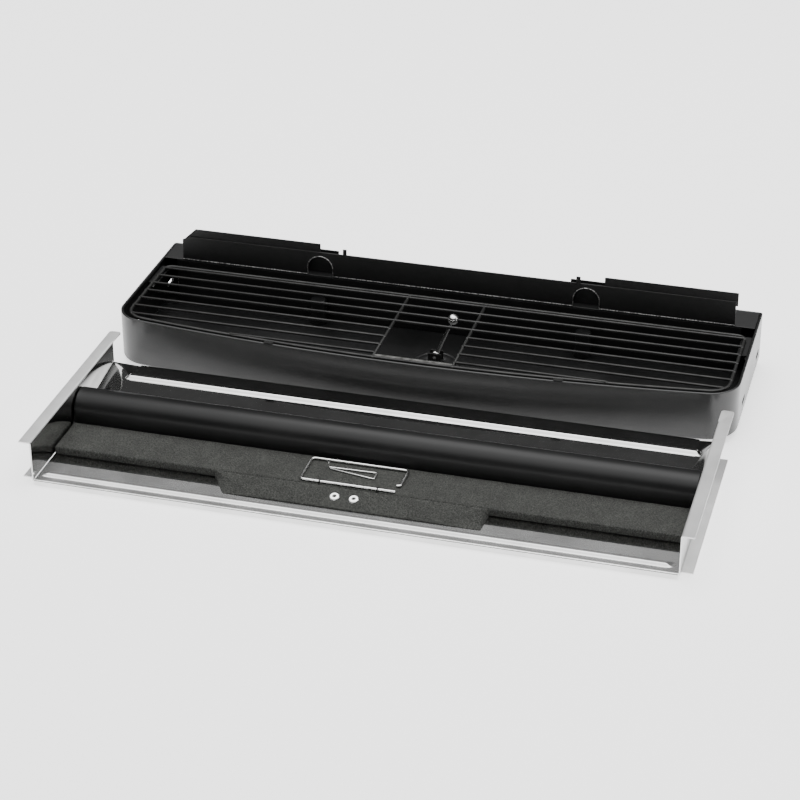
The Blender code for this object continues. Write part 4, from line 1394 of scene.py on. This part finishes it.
# %% Rack layout
FRAME_WIRE = 0.0016
ROW_WIRE = 0.00125
ROD_WIRE = 0.0015
RACK_INSET = 0.0090
RACK_REAR = 0.3310
RACK_CORNER = 0.0070
RACK_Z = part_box("rack")[0].z + FRAME_WIRE
ROW_Z = RACK_Z + 0.0012
ROD_Z = RACK_Z - 0.0002
WELD_Z = RACK_Z + 0.0006
ROWS = [0.2132 + index * 0.0159 for index in range(8)]
OPEN_ROWS = 4
ROD_X = 0.0362


def row_reach(distance):
    """How far a straight row runs out to the frame wire."""
    x, centre = corner_centre()
    drop = centre - distance
    radius = CORNER - RACK_INSET
    if drop < radius * math.cos(math.asin(x / BOW)):
        return x + math.sqrt(radius ** 2 - max(0.0, drop) ** 2)
    ahead = TROUGH_FRONT + BOW - distance
    return math.sqrt((BOW - RACK_INSET) ** 2 - ahead ** 2)


def frame_wire_path():
    x, distance = HALF - RACK_INSET - RACK_CORNER, RACK_REAR - RACK_CORNER
    line = trough_front(RACK_INSET) + arc((x, distance), RACK_CORNER, 0, 90, 6)
    line += arc((-x, distance), RACK_CORNER, 90, 180, 6)
    return [(x, back(y), RACK_Z) for x, y in line]


# %% Weld the rack
def weld(bm, spot, radius):
    """A small flattened bead of weld."""
    matrix = Matrix.Translation(spot) @ Matrix.Diagonal((1.25, 1.25, 0.85, 1.0))
    bmesh.ops.create_icosphere(bm, subdivisions=2, radius=radius, matrix=matrix)


def weld_row(bm, y, reach, open_row):
    """One straight row. An open row stops at the rods and leaves the middle free."""
    spans = [(-reach, -ROD_X), (ROD_X, reach)] if open_row else [(-reach, reach)]
    for start, end in spans:
        straight_wire(bm, (start, y, ROW_Z), (end, y, ROW_Z), ROW_WIRE, sides=10)
        weld(bm, (start, y, WELD_Z), 0.0016)
        weld(bm, (end, y, WELD_Z), 0.0016)
    for x in (-ROD_X, ROD_X):
        weld(bm, (x, y, WELD_Z), 0.00155)


def make_rack():
    bm = bmesh.new()
    wire(bm, frame_wire_path(), FRAME_WIRE, sides=12, closed=True)
    for index, distance in enumerate(ROWS):
        weld_row(bm, back(distance), row_reach(distance), index < OPEN_ROWS)
    for x in (-ROD_X, ROD_X):
        start, end = back(bow_front(x, RACK_INSET) + 0.0003), back(RACK_REAR - 0.0003)
        straight_wire(bm, (x, start, ROD_Z), (x, end, ROD_Z), ROD_WIRE, sides=10)
        weld(bm, (x, start, RACK_Z), 0.0019)
        weld(bm, (x, end, RACK_Z), 0.0019)
    bmesh.ops.recalc_face_normals(bm, faces=bm.faces)
    place(bm, "wire_rack", RACK_FINISH, "rack", ["rack"], "rack_wire", smooth=60)


make_rack()

# %% [markdown]
# Fingers have rubbed the lift strip, so it is paler than the wires.


# %% Lift strip
STRIP_DEPTH = 0.0052
STRIP_HALF_SHEET = 0.0008


def make_strip_finish():
    paint = Paint("worn_strip", Metallic=0.7)
    rub = wear(paint, 140.0).between(0.35, 0.65)
    colour = paint.mix(rub, (0.12, 0.12, 0.115), (0.30, 0.30, 0.29))
    return paint.vary(Base_Color=colour, Roughness=0.32 + rub * 0.1,
                      Normal=paint.bump(paint.noise(1200.0), 0.2, 0.00008))


def make_lift_strip():
    """The flat strip across the opening, at the front."""
    front = back(TROUGH_FRONT + RACK_INSET + 0.0003)
    bm = bmesh.new()
    block(bm, (-ROD_X, front, RACK_Z - STRIP_HALF_SHEET),
          (ROD_X, front + STRIP_DEPTH, RACK_Z + STRIP_HALF_SHEET))
    place(bm, "rack_lift_strip", STRIP_FINISH, "rack", slot="rack_wire", rounding=0.0004, segments=3)


STRIP_FINISH = make_strip_finish()
make_lift_strip()

# %% [markdown]
# ## Camera, light and floor
# A long lens far away keeps the rails nearly parallel. A broad soft box hangs above and a smaller one stands
# at the right, as for a catalogue.

# %% Camera
WIDTH_UNIT = 2 * INNER
EYE = Vector((0.878 * WIDTH_UNIT, -2.864 * WIDTH_UNIT, 1.879 * WIDTH_UNIT + FLOOR))
EYE.y += FRONT
LENS_MM = 106.8
LOOK_DOWN = 29.08
ROLL = 0.08
TURN = 15.44
lens = bpy.data.cameras.new("catalogue_camera")
lens.lens = LENS_MM
lens.sensor_width = 36.0
camera = bpy.data.objects.new("catalogue_camera", lens)
camera.location = EYE
camera.rotation_euler = [math.radians(angle) for angle in (90 - LOOK_DOWN, ROLL, TURN)]
bpy.context.scene.collection.objects.link(camera)
bpy.context.scene.camera = camera


# %% Light
def soft_box(name, location, target, size, power):
    """A large area light that looks at a point."""
    light = bpy.data.lights.new(name, "AREA")
    light.shape = "RECTANGLE"
    light.size, light.size_y = size
    light.energy = power
    item = bpy.data.objects.new(name, light)
    item.location = location
    aim = Vector(target) - Vector(location)
    item.rotation_euler = aim.to_track_quat("-Z", "Y").to_euler()
    bpy.context.scene.collection.objects.link(item)


soft_box("top_box", (0.1, 0.35, 1.7), (0, 0, 0), (1.9, 1.1), 14.0)
soft_box("side_box", (1.7, 0.5, 0.8), (0.2, 0.1, 0), (0.9, 0.9), 5.0)

# %% [markdown]
# The room is a dark one with a bright ceiling. The black pieces keep their depth, level steel mirrors the
# dark walls, and every fold and bead catches the ceiling. The strength follows the height of the direction.


# %% Room
def make_world():
    world = bpy.data.worlds.new("studio")
    world.use_nodes = True
    tree = world.node_tree
    sky = tree.nodes["Background"]
    sky.inputs["Color"].default_value = (1.0, 1.0, 1.0, 1.0)
    where = tree.nodes.new("ShaderNodeTexCoord")
    parts = tree.nodes.new("ShaderNodeSeparateXYZ")
    strength = tree.nodes.new("ShaderNodeMapRange")
    for socket, value in (("From Min", 0.58), ("From Max", 0.82), ("To Min", 0.06), ("To Max", 2.60)):
        strength.inputs[socket].default_value = value
    tree.links.new(where.outputs["Generated"], parts.inputs["Vector"])
    tree.links.new(parts.outputs["Z"], strength.inputs["Value"])
    tree.links.new(strength.outputs["Result"], sky.inputs["Strength"])
    bpy.context.scene.world = world


make_world()

# %% [markdown]
# The floor is plain and pale. It glows a little by itself, so that it stays pale under the dark walls.

# %% Floor
FLOOR_SIZE = 6.0
floor_paint = Paint("floor", Roughness=0.9, Emission_Color=(1.0, 1.0, 1.0, 1.0), Emission_Strength=1.3)
floor_tone = floor_paint.mix(floor_paint.noise(3.0), (0.94, 0.94, 0.94), (0.96, 0.96, 0.96))
floor_paint.vary(Base_Color=floor_tone)
bm = bmesh.new()
bmesh.ops.create_grid(bm, x_segments=1, y_segments=1, size=FLOOR_SIZE,
                      matrix=Matrix.Translation((0, 0, -0.0005)))
floor_mesh = bpy.data.meshes.new("floor")
bm.to_mesh(floor_mesh)
bm.free()
floor_mesh.materials.append(floor_paint.material)
floor = bpy.data.objects.new("floor", floor_mesh)
bpy.context.scene.collection.objects.link(floor)
